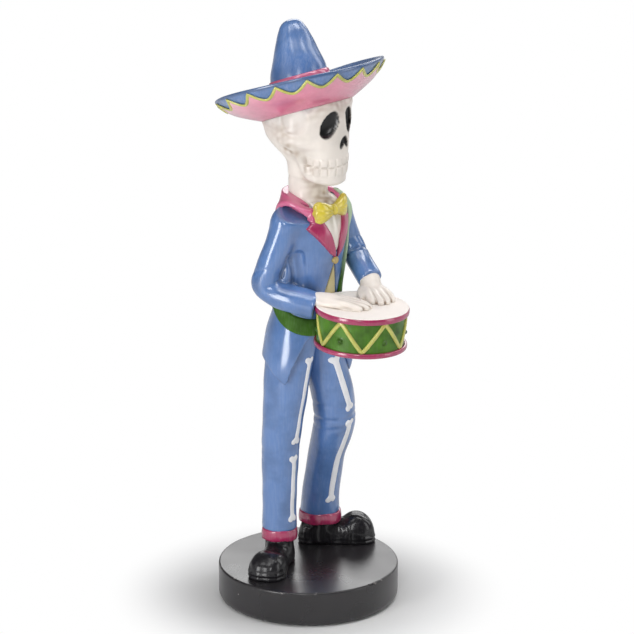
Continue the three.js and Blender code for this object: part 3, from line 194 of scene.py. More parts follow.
def column(clay, stations, power=2.0, along=2):
    """A solid of ovals stacked along an axis, through stations of x, y, z and two radii."""
    rows = np.array(stations, dtype=float)
    axes = [clay.x, clay.y, clay.z]
    level = axes[along]
    across = [k for k in range(3) if k != along]

    def at(k):
        line = smooth_line(level.reshape(-1).astype(float), rows[:, along], rows[:, k])
        return line.astype(np.float32).reshape(level.shape)

    a, b = [np.abs(axes[k] - at(k)) for k in across]
    ra = at(3)
    rb = at(4)
    near = ((a / ra) ** power + (b / rb) ** power) ** (1 / power)
    steep = np.sqrt((a / ra ** 2) ** 2 + (b / rb ** 2) ** 2)
    side = near * (near - 1) / np.maximum(steep, TINY)
    low, high = [float(rows[end, along]) for end in (0, -1)]
    return np.maximum(side, np.maximum(low - level, level - high))


def outline(across, up, points):
    """Distance to a flat outline, negative inside it."""
    near = None
    inside = np.zeros(np.broadcast(across, up).shape, dtype=bool)
    for (x0, z0), (x1, z1) in zip(points, points[1:] + points[:1]):
        ex = x1 - x0
        ez = z1 - z0
        wx = across - x0
        wz = up - z0
        share = np.clip((wx * ex + wz * ez) / (ex * ex + ez * ez), 0, 1)
        gap = (wx - share * ex) ** 2 + (wz - share * ez) ** 2
        near = gap if near is None else np.minimum(near, gap)
        crosses = (up >= z0) != (up >= z1)
        inside ^= crosses & (wx < wz * (ex / ez if ez else 0.0))
    return np.where(inside, -1, 1).astype(np.float32) * np.sqrt(near)


def wobble(clay, size, height, seed):
    """The gentle unevenness of a hand-made casting, as a sum of waves."""
    draw = np.random.default_rng(seed)
    waves = 5
    total = 0.0
    for _ in range(waves):
        way = draw.normal(size=3)
        way = (way / np.linalg.norm(way) * 2 * math.pi / (size * draw.uniform(0.7, 1.4))).astype(np.float32)
        start = draw.uniform(0, 2 * math.pi)
        total = total + np.sin(clay.x * way[0] + clay.y * way[1] + clay.z * way[2] + start)
    return total * (2 * height / waves)


def spin(turn):
    """A turn about X, then Y, then Z, in degrees, in the order of the CAD groups."""
    x, y, z = [math.radians(v) for v in turn]
    return Matrix.Rotation(x, 4, "X") @ Matrix.Rotation(y, 4, "Y") @ Matrix.Rotation(z, 4, "Z")


def above_base(x=0.0, y=0.0, z=0.0):
    return Matrix.Translation((x, y, z + BASE_HEIGHT))


def mesh_object(name, points, faces, place):
    """An object with smooth faces, its points turned from millimetres into metres."""
    matrix = np.array(place)
    moved = np.asarray(points) @ matrix[:3, :3].T + matrix[:3, 3]
    mesh = bpy.data.meshes.new(name)
    mesh.from_pydata((moved * MM).tolist(), [], faces if isinstance(faces, list) else faces.tolist())
    mesh.polygons.foreach_set("use_smooth", [True] * len(mesh.polygons))
    mesh.update()
    piece = bpy.data.objects.new(name, mesh)
    bpy.context.scene.collection.objects.link(piece)
    return piece


def settle(piece, nodes, slot, *materials):
    """Fixes a piece to the figure in place of its CAD nodes."""
    for material in materials:
        piece.data.materials.append(material)
    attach(piece, ROOT)
    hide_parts(*nodes)
    return piece


def mark(piece, name, values):
    """Stores a number on each point for the paint to read."""
    layer = piece.data.attributes.new(name, "FLOAT", "POINT")
    layer.data.foreach_set("value", np.asarray(values, dtype=np.float32))


def cast(name, clay, field, place=None, reach=2.0, marks=None):
    """Turns clay into a mesh, with the depth of its hollows stored for the washes and the painted shade in
    them.
    """
    limit = 3.0 * clay.grain
    grid = openvdb.FloatGrid(limit)
    field = np.broadcast_to(field, clay.shape).astype(np.float32)
    grid.copyFromArray(np.clip(field, -limit, limit))
    points, quads = grid.convertToQuads(0.0)
    points = points.astype(np.float64) * clay.grain + clay.low
    piece = mesh_object(name, points, quads, place or above_base())
    tip = 0.6 * clay.grain
    slope = np.stack([
        clay.read(field, points + step) - clay.read(field, points - step)
        for step in (np.eye(3) * tip)
    ], axis=1)
    slope /= np.maximum(np.linalg.norm(slope, axis=1, keepdims=True), 1e-9)
    # How deep each point lies in a hollow: the mask of the painted shade
    hollow = 1.0 - clay.read(field, points + slope * reach) / reach
    mark(piece, "hollow", np.clip(hollow, 0.0, 1.0))
    for key, values in (marks or {}).items():
        mark(piece, key, clay.read(np.broadcast_to(values, clay.shape), points))
    return piece


def grid_faces(rows, columns, close_rows=False, close_columns=True):
    """Quads over a table of points, row by row."""
    faces = []
    for i in range(rows if close_rows else rows - 1):
        for j in range(columns if close_columns else columns - 1):
            i2 = (i + 1) % rows
            j2 = (j + 1) % columns
            faces.append((i * columns + j, i * columns + j2, i2 * columns + j2, i2 * columns + j))
    return faces


def rounded(corners, steps=5):
    """A profile with each corner of r, z, round eased by a curve."""
    line = []
    count = len(corners)
    for i, (r, z, ease) in enumerate(corners):
        here = np.array([r, z])
        if ease <= 0 or i in (0, count - 1):
            line.append(here)
            continue
        before = np.array(corners[i - 1][:2]) - here
        after = np.array(corners[i + 1][:2]) - here
        a = here + before / np.linalg.norm(before) * ease
        b = here + after / np.linalg.norm(after) * ease
        for t in np.linspace(0, 1, steps + 1):
            line.append((1 - t) ** 2 * a + 2 * t * (1 - t) * here + t * t * b)
    return np.array(line)


def turned(name, profile, sides, place, shift=None, ring=False):
    """A profile of radius and height turned about Z: a closed ring, or a solid with small flat caps."""
    angles = np.linspace(0, 2 * math.pi, sides, endpoint=False)
    rows = len(profile)
    points = np.zeros((rows, sides, 3))
    points[:, :, 0] = profile[:, 0:1] * np.cos(angles)
    points[:, :, 1] = profile[:, 0:1] * np.sin(angles)
    points[:, :, 2] = profile[:, 1:2]
    if shift is not None:
        points = points + shift(points)
    faces = grid_faces(rows, sides, close_rows=ring)
    if not ring:
        last = (rows - 1) * sides
        faces.append(tuple(reversed(range(sides))))
        faces.append(tuple(range(last, last + sides)))
    return mesh_object(name, points.reshape(-1, 3), faces, place)


# Sizes of the figure: stations are x, y, z, rx, ry and paths are x, y, z, radius
RIGHT_LEG = [
    (-8.9, 7.4, 15.0, 6.8, 6.8), (-8.9, 7.4, 25.3, 6.6, 6.6), (-8.9, 7.1, 38.8, 7.1, 7.1),
    (-8.9, 6.6, 51.6, 7.5, 7.5), (-8.8, 5.6, 61.0, 8.1, 8.1), (-8.4, 4.7, 70.0, 8.3, 8.8),
    (-7.6, 4.0, 82.5, 8.0, 10.0), (-6.6, 3.0, 93.0, 7.4, 10.6), (-5.8, 2.2, 103.5, 6.0, 9.8),
]
LEFT_LEG = [
    (18.4, 9.5, 13.8, 8.2, 7.8), (17.2, 8.0, 22.3, 7.6, 7.4), (16.2, 5.8, 31.7, 7.2, 7.2),
    (15.4, 3.9, 38.8, 7.3, 7.3), (14.2, 0.3, 48.0, 7.9, 7.9), (13.0, -2.6, 57.9, 8.4, 8.4),
    (11.4, -2.5, 68.9, 8.5, 8.6), (8.8, -1.2, 79.0, 8.2, 9.4), (6.6, 1.4, 93.0, 7.4, 10.6),
    (5.8, 2.2, 103.5, 6.0, 9.8),
]
COAT = [
    (0, 2.6, 68.0, 17.7, 16.3), (0, 2.6, 77.0, 17.7, 16.2), (0, 2.5, 86.0, 17.4, 15.6),
    (0, 2.2, 96.0, 16.0, 14.2), (0, 1.4, 105.0, 14.0, 12.4), (0, 0.3, 114.0, 13.2, 11.8),
    (0, -0.8, 124.0, 13.6, 12.2), (0, -1.5, 134.0, 14.4, 12.6), (0, -1.8, 142.0, 14.6, 12.0),
    (0, -1.4, 147.0, 13.8, 10.8), (0, -0.6, 151.0, 11.6, 9.4), (0, 0.0, 153.5, 9.2, 8.6),
]
SHOULDERS = [(-14.0, -1.2, 145.0), (13.2, -2.4, 144.4)]
SHOULDER_RADIUS = 6.0
RIGHT_SLEEVE = [
    (-14.2, -1.2, 145.6, 5.6), (-17.3, 0.2, 137.0, 5.2), (-20.0, 3.0, 126.0, 5.1), (-20.6, 4.2, 119.8, 5.2),
    (-19.2, 0.4, 117.0, 5.1), (-16.2, -7.2, 115.2, 5.2), (-12.9, -15.4, 113.4, 5.3),
]
LEFT_SLEEVE = [
    (13.4, -2.2, 145.0, 5.4), (17.0, -3.4, 136.0, 5.0), (19.0, -5.6, 128.5, 4.8), (18.0, -11.0, 122.6, 4.7),
    (15.1, -18.8, 117.5, 4.6),
]
LEFT_WRIST = (15.6, -17.4, 118.4)
CUTAWAY = [
    (-3.2, 116.0), (-6.0, 106.0), (-8.8, 98.4), (-10.8, 95.8), (-13.2, 91.0), (-15.1, 85.4), (-16.6, 77.0),
    (-22.0, 66.0),
]
CUTAWAY_TOP = (0.0, 128.0)
TAIL_HEM = (-3.2, 77.4)
TAIL_HEM_SLOPE = 37.0
TAIL_HEM_BACK = 86.5
LEFT_TAIL_HEM = 76.6
SHIRT = [(0, 131.5), (4.6, 139.5), (6.6, 145.5), (6.8, 152), (-6.8, 152), (-6.6, 145.5), (-4.6, 139.5)]
WAISTCOAT = [(0, 127.0), (-2.6, 117.0), (-4.0, 111.0), (4.0, 111.0), (2.6, 117.0)]
LAPEL = [
    (-6.2, 149.0), (-9.4, 149.0), (-10.4, 146.0), (-9.8, 145.2), (-12.2, 143.2), (-8.1, 138.0),
    (-3.2, 131.8), (-0.4, 129.6), (-0.9, 133.6), (-2.6, 138.8), (-5.4, 144.8),
]
STRAP = [(12.8, 153.0), (13.4, 146.0), (12.4, 136.0), (9.6, 124.0), (7.4, 112.0)]
STRAP_WIDTH = 3.5
STRAP_FLARE = 2.6
# Heights over which the front strap's painted highlight rises
STRAP_SHEEN = (119.0, 133.0)
SLING_HIP = (-9.1, 11.2, 105.7)
SLING_SHOULDER = (12.6, 0.0, 150.0)
SLING_WIDTH = 6.4
HIP_BAND = (101.9, 0.55, 0.02)
HIP_BAND_WIDTH = 6.8
COLLAR_HEIGHT = 153.8
COLLAR_SLOPE = 0.42
COLLAR_BACK = 154.2
COLLAR_OPENING = 6.4
COLLAR_REACH = 13.4
# Heights over which the collar's painted highlight rises
COLLAR_SHEEN = (143.5, 149.5)
COLLAR_FALL_LOW = 143.0
COLLAR_END = 143.4
COLLAR_END_SLOPE = 0.2
NECK_RADIUS = 7.3
BUTTON = (-0.7, -15.0, 128.8)
BUTTON_RADIUS = 1.5
BOW_FRONT = -12.6
BOW_HEIGHT = 149.0
MOUTH_HEIGHT = 167.6
DRUM_PLACE = (-2.6, -28.4, 98.4)
DRUM_TILT = (0.8, 3.2, 0.0)
DRUM_RADIUS = 17.0
DRUM_HEIGHT = 14.6
HEAD_THICKNESS = 0.6
HOOP_OUTER = 18.5
HOOP_HEIGHT = 2.4
LACE_TURNS = 6
LACE_START = -138.5
HAT_PLACE = (0.0, 4.4, 197.8)
HAT_TURN = (-23.4, 3.6, 0.0)
BRIM_RADIUS = 33.7
BRIM_WARP = 1.1
BRIM_WARP_TURN = 220.0
CROWN_RADIUS = 11.5
CROWN_HEIGHT = 23.4
CROWN_LEAN = 0.135
SCALLOPS = 17
SCALLOP_START = 217.0


def mirrored(points):
    return [(-x, z) for x, z in reversed(points)]


def linear(code):
    """An sRGB hex colour as the linear colour that a shader takes."""
    parts = [int(code[i:i + 2], 16) / 255 for i in (1, 3, 5)]
    return tuple(p / 12.92 if p <= 0.04045 else ((p + 0.055) / 1.055) ** 2.4 for p in parts) + (1.0,)


def paint_colour(name, description, code):
    """A colour that can be picked in the panel."""
    return FloatVectorProperty(
        name=name, description=description, subtype="COLOR", size=4, min=0, max=1, default=linear(code))


def small_length(name, description, default, low, high):
    """A length that can be set in the panel, given in millimetres."""
    return FloatProperty(
        name=name, description=description, unit="LENGTH", default=default * MM, min=low * MM, max=high * MM)


class FigurinePaints(bpy.types.PropertyGroup):
    """Colours of the paints"""
    blue: paint_colour("Suit blue", "Coat, trousers and hat", "#587eb8")
    pink: paint_colour("Trim pink", "Lapels, hems and hoops", "#ab2159")
    green: paint_colour("Drum green", "Drum shell", "#4a7e08")
    yellow: paint_colour("Bow yellow", "Bow tie", "#e0cc38")
    ivory: paint_colour("Bone ivory", "Skull and hands", "#f0e8df")
    # Brown for the hollows of the bones: partly washes, partly painted shade
    wash: paint_colour("Brown wash", "Thin brown paint left in the hollows of the bones", "#8a6f55")


class FigurineSizes(bpy.types.PropertyGroup):
    """Sizes of the raised details"""
    bone_rise: small_length("Bone relief", "How far the leg bones stand off the trousers", 0.22, 0.0, 1.0)
    lapel_rise: small_length("Lapel relief", "How far the lapels stand off the chest", 1.0, 0.2, 2.0)
    cord_width: small_length("Cord width", "Width of the yellow cord on the hat", 1.3, 0.5, 2.5)
    casting_wobble: small_length("Casting wobble", "Height of the waves of the surface", 0.16, 0.0, 0.6)


# Materials
def add(tree, kind, fields=None, inputs=None):
    """Adds a node, sets its fields, and sets its inputs or links them."""
    node = tree.nodes.new(kind)
    for key, value in (fields or {}).items():
        setattr(node, key, value)
    for key, value in (inputs or {}).items():
        if isinstance(value, bpy.types.NodeSocket):
            tree.links.new(value, node.inputs[key])
        else:
            node.inputs[key].default_value = value
    return node


def toned(colour, amount):
    """A colour moved towards white when amount is above zero, and towards black below it."""
    goal = 1.0 if amount > 0 else 0.0
    return tuple(c + (goal - c) * abs(amount) for c in colour[:3]) + (1.0,)


def blank_material(name):
    """A new material with its empty tree, and the coordinates of the piece in metres."""
    material = bpy.data.materials.new(name)
    material.use_nodes = True
    tree = material.node_tree
    tree.nodes.clear()
    return material, tree, add(tree, "ShaderNodeTexCoord").outputs["Object"]


def chosen(name):
    """A colour picked in the panel."""
    return tuple(getattr(bpy.context.scene.figurine_paints, name))


# Pools of thicker paint gather about every 9 mm, a stroke of the brush is 0.7 mm wide, and the varnish
# has run in waves about 4 mm apart
POOL_SIZE = 9.0
STROKE_WIDTH = 0.7
STROKE_LENGTH = 8.0
STROKE_RELIEF = 0.015
FLOW_SIZE = 4.0
FLOW_RELIEF = 0.01


def brushed_paint(name, colour, wash, thin=0.035, thick=-0.2, wash_and_shade_span=(0.08, 0.6, 0.6), roughness=0.4,
                  gloss=1.0, varnish=0.16, layers=()):
    """Hand-brushed paint under gloss varnish on cast resin: streaks along the brush, darker pools, painted
    shade in the hollows (on the bones partly brown washes), and soft-edged layers of paint or painted light
    where a mark says so."""
    if name in bpy.data.materials:
        return bpy.data.materials[name]
    material, tree, place = blank_material(name)
    fine = 1 / (STROKE_WIDTH * MM)
    along = add(tree, "ShaderNodeMapping", None, {
        "Vector": place, "Scale": (fine, fine, 1 / (STROKE_LENGTH * MM)), "Rotation": (0.12, -0.16, 0.0)})
    strokes = add(tree, "ShaderNodeTexNoise", None, {
        "Vector": along.outputs["Vector"], "Scale": 1.0, "Detail": 3.0, "Roughness": 0.6})
    pools = add(tree, "ShaderNodeTexNoise", None, {
        "Vector": place, "Scale": 1 / (POOL_SIZE * MM), "Detail": 3.0, "Roughness": 0.55})
    streak = add(tree, "ShaderNodeMapRange", None, {
        "Value": strokes.outputs["Fac"], "From Min": 0.4, "From Max": 0.72})
    pool = add(tree, "ShaderNodeMapRange", None, {
        "Value": pools.outputs["Fac"], "From Min": 0.42, "From Max": 0.68})
    paint = add(tree, "ShaderNodeMix", {"data_type": "RGBA"}, {
        0: streak.outputs[0], 6: colour, 7: toned(colour, thin)})
    paint = add(tree, "ShaderNodeMix", {"data_type": "RGBA"}, {
        0: pool.outputs[0], 6: paint.outputs[2], 7: toned(colour, thick)})
    # Painted shade: the colour given for the hollows is mixed in where a point lies deep in a recess
    hollow = add(tree, "ShaderNodeAttribute", {"attribute_name": "hollow"})
    start, full, share = wash_and_shade_span
    sunk = add(tree, "ShaderNodeMapRange", None, {
        "Value": hollow.outputs["Fac"], "From Min": start, "From Max": full, "To Max": share})
    paint = add(tree, "ShaderNodeMix", {"data_type": "RGBA"}, {
        0: sunk.outputs[0], 6: paint.outputs[2], 7: wash})
    for mark_name, layer in layers:
        cover = add(tree, "ShaderNodeAttribute", {"attribute_name": mark_name})
        paint = add(tree, "ShaderNodeMix", {"data_type": "RGBA"}, {
            0: cover.outputs["Fac"], 6: paint.outputs[2], 7: layer})
    uneven = add(tree, "ShaderNodeMapRange", None, {
        "Value": pools.outputs["Fac"], "From Min": 0.3, "From Max": 0.7,
        "To Min": roughness - 0.06, "To Max": roughness + 0.1})
    relief = add(tree, "ShaderNodeBump", None, {
        "Strength": 0.5, "Distance": STROKE_RELIEF * MM, "Height": strokes.outputs["Fac"]})
    flow = add(tree, "ShaderNodeTexNoise", None, {
        "Vector": place, "Scale": 1 / (FLOW_SIZE * MM), "Detail": 2.0, "Roughness": 0.5})
    runs = add(tree, "ShaderNodeBump", None, {
        "Strength": 0.5, "Distance": FLOW_RELIEF * MM, "Height": flow.outputs["Fac"]})
    shader = add(tree, "ShaderNodeBsdfPrincipled", None, {
        "Base Color": paint.outputs[2], "Roughness": uneven.outputs[0], "IOR": 1.48,
        "Specular IOR Level": 0.25, "Coat Weight": gloss, "Coat Roughness": varnish, "Coat IOR": 1.8,
        "Normal": relief.outputs["Normal"], "Coat Normal": runs.outputs["Normal"]})
    add(tree, "ShaderNodeOutputMaterial", None, {"Surface": shader.outputs["BSDF"]})
    return material


def blue_paint():
    """Wet-looking blue with long white highlights, darker where the paint has pooled, and darker still in the
    hollows as painted shade.
    """
    colour = chosen("blue")
    return brushed_paint("blue gloss paint brushed on resin", colour, toned(colour, -0.62))


def hat_paint():
    """The same blue with a softer shine, so its highlights spread, painted shade in the hollows, and a dark
    line of painted shade round the edge of the rim.
    """
    colour = chosen("blue")
    return brushed_paint(
        "blue satin paint brushed on the hat", colour, toned(colour, -0.5), thin=0.1, roughness=0.34,
        varnish=0.24, layers=[("rim", toned(colour, -0.45))])


def pink_paint():
    """Deep pink with small highlights, painted shade in the hollows, and a painted highlight that makes it
    paler towards the top of the collar.
    """
    colour = chosen("pink")
    return brushed_paint(
        "pink gloss paint brushed on resin", colour, toned(colour, -0.6),
        layers=[("pale", linear("#dd6c96"))])


def lining_paint():
    """Light pink that fades almost to white towards the rim and is paler still at the two ends as a painted
    sheen, with painted shade in the hollows.
    """
    colour = linear("#e0688f")
    return brushed_paint(
        "pink gloss paint brushed thin on the brim", colour, toned(colour, -0.5),
        layers=[("pale", linear("#fad0da"))])


def yellow_paint():
    """Even yellow with ochre in the pleats as painted shade."""
    colour = chosen("yellow")
    return brushed_paint("yellow gloss paint brushed on resin", colour, linear("#8f7a2c"))


def lacing_paint():
    """Dull yellow, because the green shows through, with darker olive in the hollows as painted shade."""
    colour = linear("#c9c75c")
    return brushed_paint("yellow paint brushed thin over green", colour, linear("#6d7a2c"), thick=-0.25)


def gold_paint():
    """Brownish gold with one small highlight, darker in the hollows as painted shade."""
    colour = linear("#b79d4e")
    return brushed_paint("gold paint dabbed on resin", colour, toned(colour, -0.6), roughness=0.36)


def cream_paint():
    """Off-white with grey-brown in the folds as painted shade."""
    colour = linear("#e9e3d8")
    return brushed_paint("cream paint brushed on resin", colour, linear("#a39a86"), thick=-0.07)


def drum_skin_paint():
    """Chalky white with no shine, grey-brown in the hollows as painted shade."""
    colour = linear("#faf4ee")
    return brushed_paint(
        "white matt paint brushed on the drum heads", colour, linear("#b3a99c"), thick=-0.05, roughness=0.7,
        gloss=0.0)


def bone_paint():
    """Warm white with brown in the hollows, partly washes and partly painted shade, brown patches of washes
    and of painted shadow, and flat black in the sockets.
    """
    return brushed_paint(
        "ivory paint with a brown wash on resin", chosen("ivory"), chosen("wash"), thick=-0.1,
        wash_and_shade_span=(0.1, 0.75, 0.75), gloss=0.35, varnish=0.2,
        layers=[("stain", linear("#9a7c5c")), ("socket", linear("#0f0e11"))])


def leg_bone_paint():
    """Clean cool white with grey in its hollows and at its edge as painted shade."""
    colour = linear("#f2f3f7")
    return brushed_paint("white paint brushed on the trousers", colour, linear("#9aa3b8"), thick=-0.08)


def black_gloss_paint():
    """Black with small sharp highlights, a deeper black in the hollows as painted shade."""
    colour = linear("#17151a")
    return brushed_paint(
        "black gloss paint brushed on resin", colour, linear("#0c0b0d"), thin=0.02, roughness=0.34,
        gloss=0.3, varnish=0.14)


# Haze is the grey bloom of handling on the satin black, and specks are dust caught in the wet paint. Felt
# fibres and the lines of drawn steel are finer than this in life, and are drawn coarse enough to show
HAZE_SIZE = 26.0
SPECK_SPACING = 15.0
CHIP_SIZE = 2.2
FIBRE_SIZE = 0.35
FIBRE_RELIEF = 0.15
DRAW_WIDTH = 0.1
DRAW_LENGTH = 8.0


def base_black_paint():
    """Satin black sprayed on resin: a grey haze in patches, dust specks and edges rubbed pale."""
    material, tree, place = blank_material("satin black paint sprayed on resin")
    haze = add(tree, "ShaderNodeTexNoise", None, {
        "Vector": place, "Scale": 1 / (HAZE_SIZE * MM), "Detail": 2.0, "Roughness": 0.5})
    veil = add(tree, "ShaderNodeMapRange", None, {
        "Value": haze.outputs["Fac"], "From Min": 0.35, "From Max": 0.75, "To Max": 0.55})
    paint = add(tree, "ShaderNodeMix", {"data_type": "RGBA"}, {
        0: veil.outputs[0], 6: linear("#232123"), 7: linear("#353235")})
    cells = add(tree, "ShaderNodeTexVoronoi", None, {"Vector": place, "Scale": 1 / (SPECK_SPACING * MM)})
    speck = add(tree, "ShaderNodeMapRange", None, {
        "Value": cells.outputs["Distance"], "From Min": 0.014, "From Max": 0.026,
        "To Min": 0.7, "To Max": 0.0})
    paint = add(tree, "ShaderNodeMix", {"data_type": "RGBA"}, {
        0: speck.outputs[0], 6: paint.outputs[2], 7: linear("#b9b4b0")})
    edge = add(tree, "ShaderNodeAttribute", {"attribute_name": "edge"})
    rub = add(tree, "ShaderNodeTexNoise", None, {
        "Vector": place, "Scale": 1 / (CHIP_SIZE * MM), "Detail": 3.0})
    chips = add(tree, "ShaderNodeMapRange", None, {
        "Value": rub.outputs["Fac"], "From Min": 0.6, "From Max": 0.72, "To Max": 0.7})
    worn = add(tree, "ShaderNodeMath", {"operation": "MULTIPLY"}, {
        0: edge.outputs["Fac"], 1: chips.outputs[0]})
    paint = add(tree, "ShaderNodeMix", {"data_type": "RGBA"}, {
        0: worn.outputs[0], 6: paint.outputs[2], 7: linear("#8d8886")})
    uneven = add(tree, "ShaderNodeMapRange", None, {
        "Value": haze.outputs["Fac"], "From Min": 0.3, "From Max": 0.7, "To Min": 0.24, "To Max": 0.36})
    shader = add(tree, "ShaderNodeBsdfPrincipled", None, {
        "Base Color": paint.outputs[2], "Roughness": uneven.outputs[0], "IOR": 1.5, "Coat Weight": 0.3,
        "Coat Roughness": 0.25})
    add(tree, "ShaderNodeOutputMaterial", None, {"Surface": shader.outputs["BSDF"]})
    return material


def pressed_felt():
    """Pressed black felt: matted fibres about a third of a millimetre apart, with no shine."""
    material, tree, place = blank_material("pressed black felt")
    fibres = add(tree, "ShaderNodeTexNoise", None, {
        "Vector": place, "Scale": 1 / (FIBRE_SIZE * MM), "Detail": 4.0, "Roughness": 0.7})
    paint = add(tree, "ShaderNodeMix", {"data_type": "RGBA"}, {
        0: fibres.outputs["Fac"], 6: linear("#141414"), 7: linear("#3a3938")})
    relief = add(tree, "ShaderNodeBump", None, {
        "Strength": 0.9, "Distance": FIBRE_RELIEF * MM, "Height": fibres.outputs["Fac"]})
    shader = add(tree, "ShaderNodeBsdfPrincipled", None, {
        "Base Color": paint.outputs[2], "Roughness": 0.95, "Sheen Weight": 0.3,
        "Normal": relief.outputs["Normal"]})
    add(tree, "ShaderNodeOutputMaterial", None, {"Surface": shader.outputs["BSDF"]})
    return material


def drawn_steel():
    """Drawn steel rod: fine lines along the draw and a dull grey shine."""
    material, tree, place = blank_material("drawn steel rod")
    fine = 1 / (DRAW_WIDTH * MM)
    along = add(tree, "ShaderNodeMapping", None, {
        "Vector": place, "Scale": (fine, fine, 1 / (DRAW_LENGTH * MM))})
    draw = add(tree, "ShaderNodeTexNoise", None, {
        "Vector": along.outputs["Vector"], "Scale": 1.0, "Detail": 2.0})
    paint = add(tree, "ShaderNodeMix", {"data_type": "RGBA"}, {
        0: draw.outputs["Fac"], 6: linear("#85878a"), 7: linear("#b4b6b9")})
    uneven = add(tree, "ShaderNodeMapRange", None, {
        "Value": draw.outputs["Fac"], "From Min": 0.3, "From Max": 0.7, "To Min": 0.28, "To Max": 0.42})
    shader = add(tree, "ShaderNodeBsdfPrincipled", None, {
        "Base Color": paint.outputs[2], "Metallic": 1.0, "Roughness": uneven.outputs[0]})
    add(tree, "ShaderNodeOutputMaterial", None, {"Surface": shader.outputs["BSDF"]})
    return material


# Base: a small flat cap closes each turned solid at its axis
CAP = 0.4
FOOT_ROUND = 3.6
FOOT_FLAT = 0.6
TOP_EDGE = 0.9
EDGE_BAND = 1.4
WORN_BAND = 1.1
BASE_RINGS = (30.0, 20.0, 10.0, CAP)
FELT_RADIUS = 30.7
FELT_THICKNESS = 1.0
FELT_ROOM = 0.3


def base_wave(points):
    """A turned disc that has been sanded by hand is never quite round."""
    angle = np.arctan2(points[..., 1], points[..., 0])
    share = np.hypot(points[..., 0], points[..., 1]) / BASE_RADIUS
    out = share ** 6 * (0.1 * np.sin(3 * angle + 0.6) + 0.06 * np.sin(7 * angle + 2.0) - 0.1)
    return np.stack([out * np.cos(angle), out * np.sin(angle), np.zeros(out.shape)], axis=-1)


def make_base():
    room = FELT_RADIUS + FELT_ROOM
    profile = rounded([
        (CAP, FELT_THICKNESS, 0), (room, FELT_THICKNESS, 0), (room, 0.0, 0), (room + FOOT_FLAT, 0.0, 0.2),
        (BASE_RADIUS, 0.0, FOOT_ROUND), (BASE_RADIUS, BASE_HEIGHT - EDGE_BAND, 0),
        (BASE_RADIUS, BASE_HEIGHT, TOP_EDGE), (BASE_RADIUS - EDGE_BAND, BASE_HEIGHT, 0),
    ] + [(ring, BASE_HEIGHT, 0) for ring in BASE_RINGS], steps=10)
    disc = turned("base_disc_visual", profile, 160, Matrix.Identity(4), base_wave)
    spots = np.array([v.co for v in disc.data.vertices]) / MM
    reach = np.hypot(spots[:, 0], spots[:, 1])
    worn = (reach > BASE_RADIUS - WORN_BAND) & (spots[:, 2] > BASE_HEIGHT - WORN_BAND)
    mark(disc, "edge", worn.astype(float))
    settle(disc, ["base_disc"], "black_satin_paint", base_black_paint())
    pad = turned("base_felt_visual", rounded([
        (CAP, 0.0, 0), (FELT_RADIUS, 0.0, 0.3), (FELT_RADIUS, FELT_THICKNESS, 0.2), (CAP, FELT_THICKNESS, 0),
    ]), 96, Matrix.Identity(4))
    settle(pad, ["base_felt"], "base_felt", pressed_felt())
    steel = drawn_steel()
    for node in ("right_leg_rod", "left_leg_rod", "drum_pin", "neck_pin"):
        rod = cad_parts[node]
        rod.data.materials.clear()
        rod.data.materials.append(steel)


# Shoes: in a frame with the toe along Y and the ankle at the origin
SOLE = [
    (0, -9.0), (3.0, -8.2), (4.8, -5.4), (5.0, 0.0), (5.2, 5.0), (6.4, 10.0), (7.5, 14.5), (7.4, 18.0),
    (5.6, 21.2), (2.4, 22.6),
]
SOLE_THICKNESS = 3.2
SOLE_EDGE = 0.9
WELT_LEVEL = 1.7
WELT_WIDTH = 0.28
WELT_DEPTH = 0.45
UPPER_FLOOR = 1.0
ANKLE_RADIUS = 5.6
TOE = (2.3, 14.8, 3.2)
TOE_RADII = (5.1, 7.3)
HEEL = ((0, -2.8, 3.0), (4.6, 6.0, 7.0))
SEAM_PLACE = 9.4
SEAM_BOW = 0.05
SEAM_WIDTH = 0.35
SEAM_DEPTH = 0.1
INSTEP = [
    (0, -7.0, 3.0, 3.6, 4.6), (0, -3.0, 3.0, 4.8, 6.4), (0, 3.0, 3.0, 5.6, 7.0), (0, 8.0, 3.0, 5.6, 6.4),
    (0, 13.0, 3.0, 6.2, 5.6), (0, 17.0, 3.0, 6.2, 4.6),
]
# Node, ankle, turn, share of the width and length, height of the ankle and of the toe
SHOES = [
    ("right_shoe", (-8.9, 7.4), 113.0, 1.0, 1.0, 15.0, 6.3),
    ("left_shoe", (18.4, 9.5), -135.7, 0.9, 0.97, 13.8, 8.2),
]


def shoe_form(clay, top, toe_rise):
    """A welted sole of two layers, a low instep, a seam and a high round toe."""
    sole = outline(clay.x, clay.y, SOLE + mirrored(SOLE[1:]))
    sole = sole + WELT_DEPTH * ridge(clay.z - WELT_LEVEL, WELT_WIDTH)
    sole = meet(sole, np.abs(clay.z - SOLE_THICKNESS / 2) - SOLE_THICKNESS / 2, SOLE_EDGE)
    toe = [egg(clay, (side * TOE[0],) + TOE[1:], TOE_RADII + (toe_rise,)) for side in (-1, 1)]
    body = blend(column(clay, INSTEP, along=1), blend(*toe, 3.0), 2.0)
    body = blend(body, egg(clay, *HEEL), 1.5)
    body = blend(body, cone(clay, (0, 0, 2), (0, 0, top + 2), ANKLE_RADIUS, ANKLE_RADIUS), 1.5)
    body = np.maximum(body, np.maximum(UPPER_FLOOR - clay.z, clay.z - top))
    body = body + SEAM_DEPTH * ridge(clay.y - SEAM_PLACE - SEAM_BOW * clay.x ** 2, SEAM_WIDTH)
    return blend(body, sole, 0.5)


def make_shoes():
    for node, (x, y), turn, wide, long, top, toe_rise in SHOES:
        clay = Clay((-8, -11, -1), (8, 25, 17), 0.32)
        form = shoe_form(clay, top, toe_rise) + wobble(clay, 7, 0.1, 5)
        place = above_base(x, y) @ Matrix.Rotation(math.radians(turn), 4, "Z")
        place = place @ Matrix.Diagonal((wide, long, 1, 1))
        shoe = cast(node + "_visual", clay, form, place)
        settle(shoe, [node], "black_gloss_paint", black_gloss_paint())


